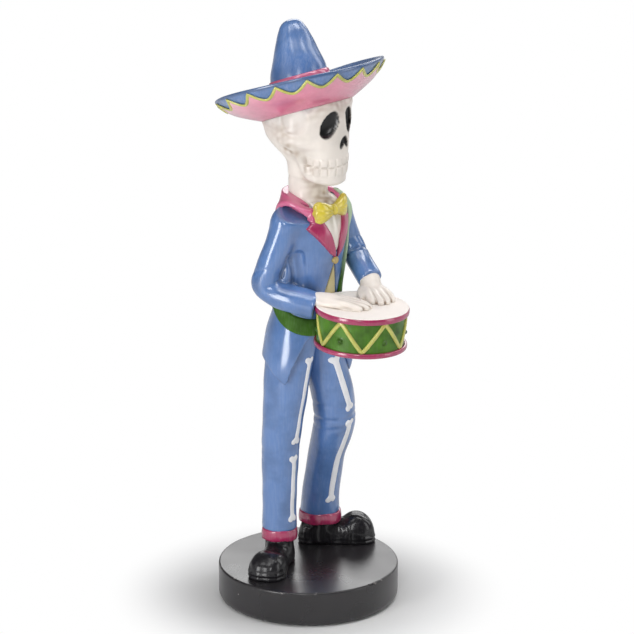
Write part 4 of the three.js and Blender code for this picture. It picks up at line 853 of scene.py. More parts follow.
# Trousers: each leg is a soft column with creases at the knee
# Stations, height of the knee, depth of the creases and seed of the waves
LEGS = {"right": (RIGHT_LEG, 49.5, 0.25, 11), "left": (LEFT_LEG, 59.5, 0.8, 23)}
LEG_BLOCKS = {"right": ((-19, -9, 12), (2, 17, 105)), "left": ((-2, -13, 12), (29, 19, 105))}
LEG_GAP = 0.1
KNEE_STATION = 4
# Rise, depth and slope of each crease
KNEE_CREASES = ((0.0, 0.45, 0.12), (3.4, 0.25, -0.2), (-3.2, 0.22, 0.25))
CREASE_WIDTH = 0.9
HEM_INNER = 5.0


def leg_form(clay, side):
    stations, knee, bend, seed = LEGS[side]
    sizes = bpy.context.scene.figurine_sizes
    body = column(clay, stations) + wobble(clay, 11, sizes.casting_wobble / MM, seed)
    for rise, depth, tilt in KNEE_CREASES:
        crease = clay.z - (knee + rise) - tilt * (clay.x - stations[KNEE_STATION][0])
        body = body + bend * depth * ridge(crease, CREASE_WIDTH)
    return body


def make_trousers():
    for side, way in (("right", -1), ("left", 1)):
        clay = Clay(*LEG_BLOCKS[side], 0.42)
        form = np.maximum(leg_form(clay, side), LEG_GAP - way * clay.x)
        name = side + "_trouser_leg"
        settle(cast(name + "_visual", clay, form), [name], "blue_paint", blue_paint())
        x, y, top, radius, _ = LEGS[side][0][0]
        hem = rounded([
            (HEM_INNER, -4.2, 0), (radius + 0.2, -4.4, 0.7), (radius + 0.4, -2.4, 0.8),
            (radius + 0.05, 0.3, 0.6), (HEM_INNER, 0.3, 0),
        ])
        name = side + "_trouser_hem"
        band = turned(name + "_visual", hem, 72, above_base(x, y, top), hem_wave, ring=True)
        settle(band, [name], "pink_paint", pink_paint())


def hem_wave(points):
    """The brushed hem line wanders a little up and down."""
    angle = np.arctan2(points[..., 1], points[..., 0])
    shift = np.zeros(points.shape)
    shift[..., 2] = 0.3 * np.sin(2 * angle + 0.4) + 0.15 * np.sin(5 * angle)
    return shift


# Leg bones: x and z of both ends, the width and the depth they reach back to
BONES = [
    ("right_thigh_bone", "right", (-8.9, 51.6), (-7.2, 89.0), 2.2, 4.0),
    ("right_shin_bone", "right", (-8.7, 18.6), (-9.3, 47.0), 2.2, 6.5),
    ("left_thigh_bone", "left", (12.4, 62.4), (4.4, 86.6), 2.6, -3.0),
    ("left_shin_bone", "left", (15.4, 19.4), (12.4, 58.4), 2.6, 3.0),
]
BONE_KNOB = 1.25
KNOB_SPREAD = 1.1
BONE_SINK = 0.7


def bone_outline(clay, low, high, width):
    """A long bone seen from the front: a slim shaft with two round knobs at each end."""
    length = math.dist(low, high)
    way_x = (high[0] - low[0]) / length
    way_z = (high[1] - low[1]) / length
    x = clay.x - (low[0] + high[0]) / 2
    z = clay.z - (low[1] + high[1]) / 2
    beyond = np.abs(way_x * x + way_z * z) - (length / 2 - BONE_KNOB)
    across = np.abs(way_z * x - way_x * z)
    shaft = np.maximum(across - width / 2, beyond)
    return blend(shaft, np.hypot(beyond, across - KNOB_SPREAD) - BONE_KNOB, 1.2)


def make_leg_bones():
    rise = bpy.context.scene.figurine_sizes.bone_rise / MM
    for name, side, low, high, width, depth in BONES:
        left = min(low[0], high[0]) - 5
        right = max(low[0], high[0]) + 5
        clay = Clay((left, -13, low[1] - 4), (right, depth + 1, high[1] + 4), 0.3)
        leg = leg_form(clay, side)
        form = meet(bone_outline(clay, low, high, width), leg - rise, 0.35)
        form = np.maximum(form, np.maximum(-leg - BONE_SINK, clay.y - depth))
        settle(cast(name + "_visual", clay, form), [name], "bone_paint", leg_bone_paint())


# Tailcoat: trunk, shoulders and both arms are one flowing surface
SHOULDER_EASE = 5.0
ARM_EASE = 1.8
SLEEVE_STEPS = ((RIGHT_SLEEVE, 36), (LEFT_SLEEVE, 26))
CUFF_ROOM = 9.0
CUFF_EDGE = 0.7
SHIRT_DEPTH = 1.2
CHEST_FRONT = -2.0
CUTAWAY_BACK = 2.6
WAIST_FLOOR = 104.0
TAIL_FLARE = ((14.0, -5.6, 86.0), (4.2, 4.4, 11.0))
FORK_HALF = 2.0
FORK_MIDDLE = 3.0
FORK_DEPTH = 9.0
FORK_TOP = 103.8
LEG_ROOM = 0.15
VENT_HALF = 0.45
VENT_FRONT = 12.0
VENT_TOP = 106.0
NECKLINE_DIP = 4.8
DRUM_CLEARANCE = 0.3


def trunk_form(clay):
    body = column(clay, COAT)
    for centre in SHOULDERS:
        body = blend(body, egg(clay, centre, (SHOULDER_RADIUS,) * 3), SHOULDER_EASE)
    return body


def coat_form(clay):
    body = trunk_form(clay)
    for path, count in SLEEVE_STEPS:
        end = np.array(path[-1][:3])
        way = end - np.array(path[-2][:3])
        way = way / np.linalg.norm(way)
        gone = clay.off(end)
        beyond = -sum(float(w) * d for w, d in zip(way, gone))
        near = np.sqrt(sum(d ** 2 for d in gone)) - CUFF_ROOM
        arm = carve(limb(clay, path, count), np.maximum(beyond, near), CUFF_EDGE)
        body = blend(body, arm, ARM_EASE)
    return body


def drum_room(clay, grow):
    """The drum as a plain cylinder, to keep the belly clear of it."""
    gone = clay.off(DRUM_PLACE)
    back = spin(DRUM_TILT).to_3x3().transposed()
    x, y, up = [sum(w * d for w, d in zip(row, gone)) for row in back]
    half = DRUM_HEIGHT / 2 + HEAD_THICKNESS + grow
    return np.maximum(np.hypot(x, y) - (HOOP_OUTER + grow), np.abs(up - DRUM_HEIGHT / 2) - half)


WEB = ((-15.2, 0.5, 123.5), (3.2, 4.2, 8.5))
WEB_GROOVES = [
    ((-16.5, -3.8, 132.4), (-18.2, -1.9, 123.8), 1.0, 0.4),
    ((-13.3, -6.6, 132.0), (-12.6, -7.6, 121.0), 1.9, 1.4),
]


def with_web(clay, body):
    """Fills the gap between the right arm and the chest with a web that has a groove on either side."""
    body = blend(body, egg(clay, *WEB), 1.0)
    for start, end, radius, soft in WEB_GROOVES:
        body = carve(body, cone(clay, start, end, radius, radius), soft)
    return body


# A place on the sleeve, the way across the crease and its depth
ARM_CREASES = [
    ((-17.5, 1.0, 122.0), (0.1, 0.75, 0.65), 0.55), ((-20.0, 4.0, 126.5), (0.0, 0.4, 0.9), 0.35),
    ((17.2, -9.0, 126.0), (0.2, 0.75, 0.62), 0.8), ((19.0, -5.0, 131.0), (0.1, 0.3, 0.9), 0.3),
]
ARM_CREASE_WIDTH = 0.7
ARM_CREASE_LENGTH = 5.5


def arm_creases(clay):
    """Folds pressed into the cloth at the elbows, as depths in millimetres."""
    total = 0.0
    for centre, lean, depth in ARM_CREASES:
        gone = clay.off(centre)
        off = sum(w * d for w, d in zip(lean, gone))
        near = sum(d ** 2 for d in gone) / ARM_CREASE_LENGTH ** 2
        total = total + depth * ridge(off, ARM_CREASE_WIDTH) * np.exp(-near ** 2)
    return total


def throat_form(clay, room):
    """The open throat above the shirt, inside the collar."""
    wide, low = SHIRT[2]
    side = np.maximum(np.abs(clay.x) - (wide - room), clay.y - CHEST_FRONT)
    return np.maximum(side, low - clay.z)


def tail_hem(clay):
    """How far a point lies below the hem, which rises to the back."""
    slope = math.radians(TAIL_HEM_SLOPE)
    hem = math.sin(slope) * (clay.y - TAIL_HEM[0]) - math.cos(slope) * (clay.z - TAIL_HEM[1])
    return blend(hem, TAIL_HEM_BACK - clay.z, 3.0)


def make_tailcoat():
    sizes = bpy.context.scene.figurine_sizes
    clay = Clay((-27, -23, 66), (26, 21, 155), 0.45)
    outer = coat_form(clay)
    body = outer + wobble(clay, 12, sizes.casting_wobble / MM, 31) + arm_creases(clay)
    body = with_web(clay, body)
    legs = np.minimum(column(clay, RIGHT_LEG), column(clay, LEFT_LEG))
    edge = [CUTAWAY_TOP] + CUTAWAY + mirrored(CUTAWAY)
    front = np.maximum(outline(clay.x, clay.z, edge), clay.y - CUTAWAY_BACK)
    floor = np.maximum(outer + SHIRT_DEPTH, WAIST_FLOOR - clay.z)
    body = carve(body, np.maximum(front, -floor), 0.8)
    body = blend(body, np.maximum(egg(clay, *TAIL_FLARE), LEFT_TAIL_HEM - clay.z), 1.5)
    shirt = np.maximum(outline(clay.x, clay.z, SHIRT), clay.y - CHEST_FRONT)
    body = carve(body, np.maximum(shirt, -outer - SHIRT_DEPTH), 0.5)
    body = meet(body, tail_hem(clay), 0.7)
    fork = np.maximum(np.abs(clay.x) - FORK_HALF, np.abs(clay.y - FORK_MIDDLE) - FORK_DEPTH)
    body = carve(body, np.maximum(fork, clay.z - FORK_TOP), 0.8)
    body = carve(body, legs - LEG_ROOM, 0.4)
    vent = np.maximum(np.abs(clay.x) - VENT_HALF, np.maximum(VENT_FRONT - clay.y, clay.z - VENT_TOP))
    body = carve(body, vent, 0.8)
    body = meet(body, above_collar(clay, NECKLINE_DIP), 0.8)
    body = carve(body, throat_form(clay, 0.0), 0.4)
    body = np.maximum(body, -drum_room(clay, DRUM_CLEARANCE))
    coat = cast("tailcoat_visual", clay, body)
    settle(coat, ["coat_body", "right_sleeve", "left_sleeve"], "blue_paint", blue_paint())


# Coat trim: patches that lie on the coat surface
SHIRT_SKIN = (-1.6, -0.25)
SHIRT_ROOM = 0.1
THROAT_DIP = 6.4
PLACKET_PLACE = 0.8
PLACKET_WIDTH = 0.9
PLACKET_RISE = 0.3
WAISTCOAT_SKIN = (-1.6, -0.2)
TRIM_SINK = -0.8
LAPEL_FRONT = -3.0
COLLAR_MIDDLE = 0.6
COLLAR_EXTRA = 0.2
COLLAR_SHEEN_SHARE = 0.9
STAND_GAP = 1.0
STAND_HALF = 1.2
STAND_HALF_HEIGHT = 3.0
STRAP_RISE = 1.1
SLING_RISE = 0.8
STRAP_CLEARANCE = 0.2
SLING_TURN = (10.0, 3.0)
HIP_FRONT = (-3.0, -6.6)
HIP_TOP = 120.0


def patch(flat, form, low, high, ease):
    """The part of a skin from low to high above a surface that lies inside an outline."""
    return np.maximum(meet(flat, form - high, ease), low - form)


def make_shirt():
    clay = Clay((-9, -17, 108), (9, 0, 154), 0.3)
    form = coat_form(clay)
    front = clay.y - CHEST_FRONT
    placket = PLACKET_RISE * ridge(clay.x - PLACKET_PLACE, PLACKET_WIDTH)
    shirt = np.maximum(outline(clay.x, clay.z, SHIRT) + SHIRT_ROOM, front)
    shirt = patch(shirt, form - placket, *SHIRT_SKIN, 0.4)
    throat = np.maximum(throat_form(clay, SHIRT_ROOM), above_collar(clay, THROAT_DIP))
    shirt = np.minimum(shirt, np.maximum(throat, form - SHIRT_SKIN[1]))
    settle(cast("shirt_front_visual", clay, shirt), ["shirt_front"], "cream_paint", cream_paint())
    point = np.maximum(outline(clay.x, clay.z, WAISTCOAT), front)
    point = np.maximum(patch(point, form, *WAISTCOAT_SKIN, 0.5), -drum_room(clay, DRUM_CLEARANCE))
    piece = cast("waistcoat_point_visual", clay, point)
    settle(piece, ["waistcoat_point"], "cream_paint", waistcoat_paint())


def waistcoat_paint():
    """Straw yellow, darker in the hollows along its edge as painted shade."""
    colour = linear("#cdbf86")
    return brushed_paint("straw paint brushed on resin", colour, toned(colour, -0.5))


def above_collar(clay, dip):
    """How far a point lies above the collar line, which falls to the front."""
    return clay.z - (COLLAR_HEIGHT - dip) - COLLAR_SLOPE * clay.y


def make_collar():
    rise = bpy.context.scene.figurine_sizes.lapel_rise / MM
    clay = Clay((-16, -19, 127), (16, 17, 160), 0.32)
    form = coat_form(clay)
    front = clay.y - LAPEL_FRONT
    right = outline(clay.x, clay.z, LAPEL)
    left = np.maximum(outline(clay.x, clay.z, mirrored(LAPEL)), -strap_strip(clay, STRAP_CLEARANCE))
    lapels = patch(np.maximum(np.minimum(right, left), front), form, TRIM_SINK, rise, 0.7)
    reach = np.hypot(clay.x, clay.y - COLLAR_MIDDLE)
    fall = patch(reach - COLLAR_REACH, form, TRIM_SINK, rise + COLLAR_EXTRA, 0.8)
    end = np.minimum(front, COLLAR_END_SLOPE * np.abs(clay.x) + COLLAR_END - clay.z)
    fall = np.maximum(fall, np.maximum(COLLAR_FALL_LOW - clay.z, end))
    top = meet(above_collar(clay, 0.0), clay.z - COLLAR_BACK, 1.5)
    stand = np.abs(reach - (NECK_RADIUS + STAND_GAP)) - STAND_HALF
    stand = meet(stand, np.abs(top + STAND_HALF_HEIGHT) - STAND_HALF_HEIGHT, 0.8)
    collar = meet(blend(fall, stand, 1.8), top, 0.8)
    opening = np.maximum(np.abs(clay.x) - COLLAR_OPENING, clay.y - CHEST_FRONT)
    collar = blend(carve(collar, opening, 0.6), lapels, 0.4)
    # Painted highlight: the collar turns paler towards its top
    pale = np.minimum(ramp(clay.z, *COLLAR_SHEEN), COLLAR_SHEEN_SHARE)
    piece = cast("collar_and_lapels_visual", clay, collar, marks={"pale": pale})
    settle(piece, ["coat_collar", "right_lapel", "left_lapel"], "pink_paint", pink_paint())


def strap_strip(clay, grow):
    """The front strap seen from the front, a strip about its centre line."""
    flat = clay.front()
    halves = STRAP_WIDTH / 2 + grow + np.linspace(0, STRAP_FLARE / 2, len(STRAP))
    shape = None
    for (x0, z0), (x1, z1), start, end in zip(STRAP[:-1], STRAP[1:], halves[:-1], halves[1:]):
        run = cone(flat, (x0, 0, z0), (x1, 0, z1), start, end)
        shape = run if shape is None else np.minimum(shape, run)
    return np.maximum(shape, clay.y - SHOULDERS[1][1])


def slab(clay, a, b, side):
    """How far a point lies above the plane through three points."""
    a = np.array(a)
    normal = np.cross(np.array(b) - a, np.array(side) - a)
    normal = normal / np.linalg.norm(normal) * np.sign(normal[2])
    return sum(float(n) * d for n, d in zip(normal, clay.off(a)))


def sling_back(clay):
    """The strap over the back: a strip from the right hip to the left shoulder."""
    x, y, z = SLING_HIP
    strip = np.abs(slab(clay, SLING_HIP, SLING_SHOULDER, (x, y + 1, z))) - SLING_WIDTH / 2
    strip = np.maximum(strip, SHOULDERS[1][1] - clay.y)
    strip = np.maximum(strip, np.minimum(SLING_TURN[0] - clay.x, SLING_TURN[1] - clay.y))
    return np.maximum(strip, z + 1 - clay.z)


def hip_band(clay):
    """The strap round the right hip, which rises to the back."""
    level, slope, curve = HIP_BAND
    above = clay.z - level - slope * clay.y - curve * clay.y ** 2
    band = np.maximum(above - HIP_BAND_WIDTH, -above)
    band = np.maximum(band, np.maximum(clay.x - HIP_FRONT[0], clay.z - HIP_TOP))
    return np.maximum(band, np.minimum(clay.x - HIP_FRONT[1], clay.y))


def make_strap():
    clay = Clay((3, -20, 110), (20, 3, 158), 0.32)
    strap = patch(strap_strip(clay, 0.0), trunk_form(clay), TRIM_SINK, STRAP_RISE, 1.1)
    strap = np.maximum(strap, -drum_room(clay, STRAP_CLEARANCE))
    # Painted highlight: the front strap turns pale towards its top
    front = cast("drum_strap_front_visual", clay, strap, marks={"pale": ramp(clay.z, *STRAP_SHEEN)})
    settle(front, ["drum_strap_front"], "green_paint", strap_paint())
    clay = Clay((-19, -14, 90), (20, 18, 158), 0.42)
    band = np.minimum(sling_back(clay), hip_band(clay))
    sling = patch(band, coat_form(clay), TRIM_SINK, SLING_RISE, 1.0)
    sling = np.maximum(sling, -drum_room(clay, STRAP_CLEARANCE))
    settle(cast("drum_sling_visual", clay, sling), ["drum_sling_back"], "green_paint", strap_paint())


def strap_paint():
    """Dull green with no shine, darker in the hollows as painted shade, and paler towards the top over the
    chest as a painted highlight.
    """
    colour = linear("#3d6a15")
    return brushed_paint(
        "green paint airbrushed on resin", colour, toned(colour, -0.7), thick=-0.45, roughness=0.6, gloss=0.0,
        layers=[("pale", linear("#b4cbab"))])


# Bow tie and button
# Reach, way back, half height and half depth of each station of a lobe
BOW_LOBE = [
    (0.9, 0.0, 1.9, 1.5), (3.0, 0.0, 2.9, 2.0), (5.5, 0.4, 4.0, 2.2), (7.8, 1.2, 4.5, 1.9),
    (9.2, 1.8, 3.7, 1.1),
]
BOW_REACH = 10.5
PLEAT_ROOT = 1.5
# Slope from the knot, width and depth
PLEATS = ((0.12, 0.07, 0.28), (-0.2, 0.06, 0.2))
KNOT_FRONT = 0.3
KNOT_RADII = (1.7, 2.4, 2.3)
KNOT_CREASE = (0.4, 0.3, 0.25)
BUTTON_CAP = 0.15
BUTTON_SINK = 0.6


def make_bow_tie():
    for name, side in (("bow_tie_right", -1), ("bow_tie_left", 1)):
        low = min(0, side * BOW_REACH)
        clay = Clay((low, -17, 143), (low + BOW_REACH, -6, 156), 0.25)
        stations = [(side * x, BOW_FRONT + back, BOW_HEIGHT, deep, tall) for x, back, tall, deep in BOW_LOBE]
        lobe = column(clay, stations[::side], power=2.4, along=0)
        fan = (clay.z - BOW_HEIGHT) / np.maximum(np.abs(clay.x), PLEAT_ROOT)
        for slope, width, depth in PLEATS:
            lobe = lobe + depth * ridge(fan - slope, width)
        settle(cast(name + "_visual", clay, lobe), [name], "yellow_paint", yellow_paint())
    clay = Clay((-3, -17, 146), (3, -9, 153), 0.22)
    place, width, depth = KNOT_CREASE
    knot = egg(clay, (0, BOW_FRONT - KNOT_FRONT, BOW_HEIGHT), KNOT_RADII)
    knot = knot + depth * ridge(clay.x - place, width)
    settle(cast("bow_tie_knot_visual", clay, knot), ["bow_tie_knot"], "yellow_paint", yellow_paint())


def make_button():
    profile = rounded([
        (BUTTON_CAP, -1.6, 0), (BUTTON_RADIUS * 0.8, -1.6, 0), (BUTTON_RADIUS, 0.1, 0.3),
        (BUTTON_RADIUS * 0.86, 0.6, 0.25), (BUTTON_RADIUS * 0.55, 0.4, 0.3), (BUTTON_CAP, 0.5, 0),
    ])
    x, y, z = BUTTON
    place = above_base(x, y + BUTTON_SINK, z) @ Matrix.Rotation(math.radians(90), 4, "X")
    button = turned("coat_button_visual", profile, 40, place)
    settle(button, ["coat_button"], "gold_paint", gold_paint())


# Skull: cranium, face, cheekbones, jaw and neck are one casting
CRANIUM = ((0, 1.5, 186.8), (14.8, 19.0, 17.0))
TEMPLE = ((15.4, -5.2, 186.0), (3.4, 6.2, 6.4))
FACE = [
    (0, -8.6, 163.0, 7.0, 7.4), (0, -8.4, 167.0, 7.8, 8.0), (0, -8.4, 170.8, 8.5, 8.3),
    (0, -8.0, 175.0, 9.5, 8.7), (0, -7.4, 180.0, 10.4, 9.4), (0, -7.0, 187.0, 10.6, 9.9),
    (0, -5.6, 193.4, 10.4, 10.2),
]
NAPE = [
    (0, 0.3, 162.0, 7.2, 7.2), (0, 0.9, 166.5, 7.8, 7.9), (0, 1.2, 168.4, 8.8, 9.1),
    (0, 1.7, 171.0, 10.6, 11.2), (0, 2.2, 173.4, 11.8, 13.2), (0, 2.5, 176.0, 12.8, 15.0),
    (0, 2.4, 180.0, 13.4, 16.0),
]
JAW = [
    (0, -10.0, 159.4, 4.2, 5.0), (0, -9.5, 160.4, 6.0, 6.8), (0, -8.8, 162.6, 7.1, 7.8),
    (0, -8.5, 168.0, 7.8, 8.2), (0, -8.4, 170.0, 7.9, 8.0),
]
BROW = [(2.6, -15.2, 191.4, 1.0), (6.6, -14.2, 192.0, 1.2), (11.0, -9.8, 189.8, 1.2)]
JAW_BRANCH = [
    (6.2, -8.6, 162.4, 1.6), (7.3, -5.6, 163.6, 1.6), (8.2, -4.0, 168.0, 1.6), (9.8, -2.8, 173.0, 1.6),
    (11.6, -0.4, 177.4, 1.5),
]
CHEEKBONE = [
    (7.6, -12.6, 176.4, 0.6), (9.9, -7.6, 176.4, 1.2), (11.6, -2.0, 176.6, 1.3), (12.6, 2.5, 176.6, 0.8),
]
SOCKET_MIDDLE = -0.6
SOCKET = (5.2, 185.1)
SOCKET_WIDE = 2.95
SOCKET_LONG = 5.5
SOCKET_LEAN = 17.0
SOCKET_DEPTH = 2.6
NOSE_MIDDLE = 1.8
NOSE = (1.1, 176.7)
NOSE_WIDE = 1.1
NOSE_LONG = 2.4
NOSE_LEAN = 24.0
NOSE_DEPTH = 1.6
PAINT_EDGE = 0.25
TEETH_PER_ROW = 10
TOOTH_PITCH = 21.0
TOOTH_ARC = 8.4
TOOTH_SWELL = 0.35
TOOTH_LINE = 0.4
TOOTH_LINE_WIDTH = 0.3
BITE_LINE = 0.45
BITE_LINE_WIDTH = 0.32
UPPER_TOOTH = 3.1
LOWER_TOOTH = 3.8
MOUTH_MIDDLE = -8.4
FACE_FRONT = -8.0
FAR = 9.0
NECK_MIDDLE = 0.1
NECK_EXTRA = 0.2
NECK_TOP = 175.0
NECK_FOOT = 146.0
NECK_FLARE = ((1.4, -4.4, 149.4), (7.8, 7.2, 4.2))
HAT_SEAT_LEVEL = -8.0


def flipped(points, side):
    return [(side * p[0],) + tuple(p[1:]) for p in points]


def tooth_grooves(clay):
    """Depth of the lines between the teeth and along the bite."""
    angle = np.degrees(np.arctan2(clay.x, MOUTH_MIDDLE - clay.y))
    step = angle / TOOTH_PITCH + (TEETH_PER_ROW % 2) / 2
    off = np.abs(step - np.round(step)) * (math.radians(TOOTH_PITCH) * TOOTH_ARC)
    above = clay.z - MOUTH_HEIGHT
    past = np.maximum(above - UPPER_TOOTH, -LOWER_TOOTH - above)
    beside = np.abs(angle) - (TOOTH_PITCH * TEETH_PER_ROW / 2 + 2)
    lines = np.maximum(TOOTH_LINE * ridge(off, TOOTH_LINE_WIDTH), BITE_LINE * ridge(above, BITE_LINE_WIDTH))
    return (lines - TOOTH_SWELL) * fade_out(past, 0.16) * fade_out(beside, 1.5)


def front_oval(clay, middle, spot, wide, long, lean, side):
    """Share of the way from the middle of a leaning oval to its edge, seen from the front."""
    across = clay.x - (middle + side * spot[0])
    up = clay.z - spot[1]
    turn = math.radians(side * lean)
    along = math.cos(turn) * up - math.sin(turn) * across
    over = math.cos(turn) * across + math.sin(turn) * up
    share = np.hypot(over / wide, along / long)
    return np.where(clay.y < FACE_FRONT, share, FAR).astype(np.float32)


def bone_form(clay):
    """The cast head before its holes are sunk."""
    head = blend(egg(clay, *CRANIUM), column(clay, FACE, power=2.3), 2.0)
    head = blend(head, column(clay, NAPE), 3.0)
    for side in (-1, 1):
        head = blend(head, limb(clay, flipped(CHEEKBONE, side), 16), 1.9)
        head = blend(head, limb(clay, flipped(BROW, side), 6), 3.0)
    head = blend(head, column(clay, JAW, power=2.3), 0.8)
    for side in (-1, 1):
        head = blend(head, limb(clay, flipped(JAW_BRANCH, side), 9), 1.8)
    neck = np.hypot(clay.x, clay.y - NECK_MIDDLE) - (NECK_RADIUS + NECK_EXTRA)
    head = blend(head, np.maximum(neck, clay.z - NECK_TOP), 1.6)
    head = blend(head, egg(clay, *NECK_FLARE), 1.5)
    place, radii = TEMPLE
    for temple in flipped([place], -1) + [place]:
        head = carve(head, egg(clay, temple, radii), 1.6)
    return head + tooth_grooves(clay)


def sunk_holes(clay):
    """Depth of the eye sockets and the nose slots, and how black their paint is."""
    depth = 0.0
    black = 0.0
    for side in (-1, 1):
        for middle, spot, wide, long, lean, deep in (
            (SOCKET_MIDDLE, SOCKET, SOCKET_WIDE, SOCKET_LONG, SOCKET_LEAN, SOCKET_DEPTH),
            (NOSE_MIDDLE, NOSE, NOSE_WIDE, NOSE_LONG, NOSE_LEAN, NOSE_DEPTH),
        ):
            share = front_oval(clay, middle, spot, wide, long, lean, side)
            depth = np.maximum(depth, deep * np.sqrt(np.clip(1 - share ** 2, 0, 1)))
            black = np.maximum(black, ramp(-share, -1 - PAINT_EDGE / wide, -1))
    return depth, black


# Middle, reach and share of each patch of brown: washes at the jaw hinges, temples and jaw, and painted
# shadow on the brow under the hat brim and on the neck above the bow
STAINS_AND_SHADOWS = [
    ((-10.4, -2.9, 173.4), 1.8, 1.0), ((-12.0, -1.0, 173.5), 4.0, 0.7), ((-14.5, 1.0, 180.0), 6.0, 0.35),
    ((-9.5, -13.0, 193.0), 5.0, 0.45), ((-3.0, -16.5, 193.0), 5.0, 0.4), ((-4.5, -6.5, 157.5), 4.5, 0.35),
    ((0.0, -9.5, 151.0), 5.0, 0.9), ((-9.5, -8.5, 166.5), 3.5, 0.4), ((9.0, -8.0, 168.0), 4.0, 0.4),
    ((0.0, 16.0, 176.0), 6.0, 0.4),
]


def stain(clay):
    """Brown patches: washes left to dry, and painted shadow on the brow under the hat brim and on the neck
    above the bow.
    """
    total = 0.0
    for centre, size, share in STAINS_AND_SHADOWS:
        gone = sum(d ** 2 for d in clay.off(centre))
        total = np.maximum(total, share * np.exp(-gone / size ** 2))
    return np.clip(total * (0.6 + wobble(clay, 2.6, 0.5, 83)), 0, 1)


def hat_level(clay, level):
    """Height above a level of the tilted hat frame."""
    axis = spin(HAT_TURN).to_3x3() @ Vector((0, 0, 1))
    return sum(a * d for a, d in zip(axis, clay.off(HAT_PLACE))) - level


def make_skull():
    clay = Clay((-17, -23, 145), (17, 23, 205), 0.36)
    depth, black = sunk_holes(clay)
    head = np.maximum(bone_form(clay) + depth, hat_level(clay, HAT_SEAT_LEVEL))
    head = np.maximum(head, NECK_FOOT - clay.z) + wobble(clay, 9, 0.1, 47)
    skull = cast("skull_visual", clay, head, marks={"stain": stain(clay), "socket": black})
    settle(skull, ["skull", "lower_jaw", "neck"], "bone_paint", bone_paint())


# Hat: in a frame at the centre of the rim
HAT_FLOOR = -0.34 * BRIM_RADIUS
BRIM_TOP = -0.053 * BRIM_RADIUS
UNDER = [(0.53, -0.34), (0.67, -0.275), (0.81, -0.2), (0.905, -0.122), (0.987, -0.035)]
CROWN = [
    (0.0, 1.0), (0.22, 0.95), (0.38, 0.85), (0.54, 0.735), (0.7, 0.6), (0.86, 0.465), (0.94, 0.35),
    (0.98, 0.22), (1.0, 0.06),
]
HEAD_HOLE = 16.5
RIM = [(BRIM_RADIUS, -0.6, 0.4), (BRIM_RADIUS, 0.3, 0.4), (32.4, 0.4, 0.5), (29.0, -0.9, 1.5)]
BRIM_FLAT = [(24.0, BRIM_TOP, 1.5), (9.0, BRIM_TOP, 0), (CAP, BRIM_TOP, 0)]
BRIM_SIDES = 180
# The outer edge of the brim on which a darker blue is laid as painted shade
RIM_SHADE_BAND = (BRIM_RADIUS - 0.5, BRIM_RADIUS - 0.1)
BAND = [(10.4, -0.1, 0), (12.2, -0.1, 0.3), (12.3, 2.4, 0.6), (11.7, 3.7, 0.5), (10.4, 3.7, 0)]
SCALLOP_LOW = 0.7
SCALLOP_HIGH = 1.0
SCALLOP_STEPS = 16
LINING_STEPS = 16
LINING_RISE = 0.4
LINING_SINK = -0.4
LINING_FADE_FROM = 0.6
CORD_RISE = 0.35
# The lining turns pale towards the rim, and a painted sheen makes it paler still at the two ends that lie
# left and right of the camera
LINING_PALE = 0.3
LINING_SHEEN = 0.7
LINING_SHEEN_TURN = -50.0


def hat_place():
    return above_base(*HAT_PLACE) @ spin(HAT_TURN)


def under_line(share, offset):
    """Radius and height on the underside of the brim, and the way out of its surface."""
    knots = np.linspace(0, 1, len(UNDER))
    line = np.array(UNDER) * BRIM_RADIUS
    step = 0.01

    def at(part):
        return np.stack([smooth_line(part, knots, line[:, k]) for k in (0, 1)], axis=-1)

    run = at(share + step) - at(share - step)
    run /= np.linalg.norm(run, axis=-1, keepdims=True)
    out = np.stack([run[..., 1], -run[..., 0]], axis=-1)
    return at(share) + out * offset, out


def scallop_edge(angle):
    """How far out the lining reaches: a row of U shapes with their points at the rim."""
    turn = (np.degrees(angle) - SCALLOP_START) / (360 / SCALLOPS)
    off = np.abs(turn - np.round(turn)) * 2
    return SCALLOP_LOW + (SCALLOP_HIGH - SCALLOP_LOW) * off ** 1.7


def swept(angle, line):
    """Points of radius and height carried round the hat axis to their angles."""
    return np.stack([line[..., 0] * np.cos(angle), line[..., 0] * np.sin(angle), line[..., 1]], axis=-1)


def brim_wave(points):
    """The brim is warped like a saddle, high at the right front and at the left back."""
    angle = np.arctan2(points[..., 1], points[..., 0])
    share = np.hypot(points[..., 0], points[..., 1]) / BRIM_RADIUS
    saddle = BRIM_WARP * np.sin(2 * (math.radians(BRIM_WARP_TURN) - angle))
    shift = np.zeros(points.shape)
    shift[..., 2] = share ** 4 * (saddle + 0.1 * np.sin(5 * angle + 0.3))
    return shift


def crown_lean(points):
    """The crown leans forward and has the dents of a soft felt hat."""
    rise = points[..., 2] - BRIM_TOP
    angle = np.arctan2(points[..., 1], points[..., 0])
    shift = np.zeros(points.shape)
    dent = 0.16 * np.sin(3 * angle + 0.2 * rise) + 0.1 * np.sin(0.55 * rise + 2 * angle)
    shift[..., 0] = dent * np.cos(angle)
    shift[..., 1] = dent * np.sin(angle) - CROWN_LEAN * rise
    return shift


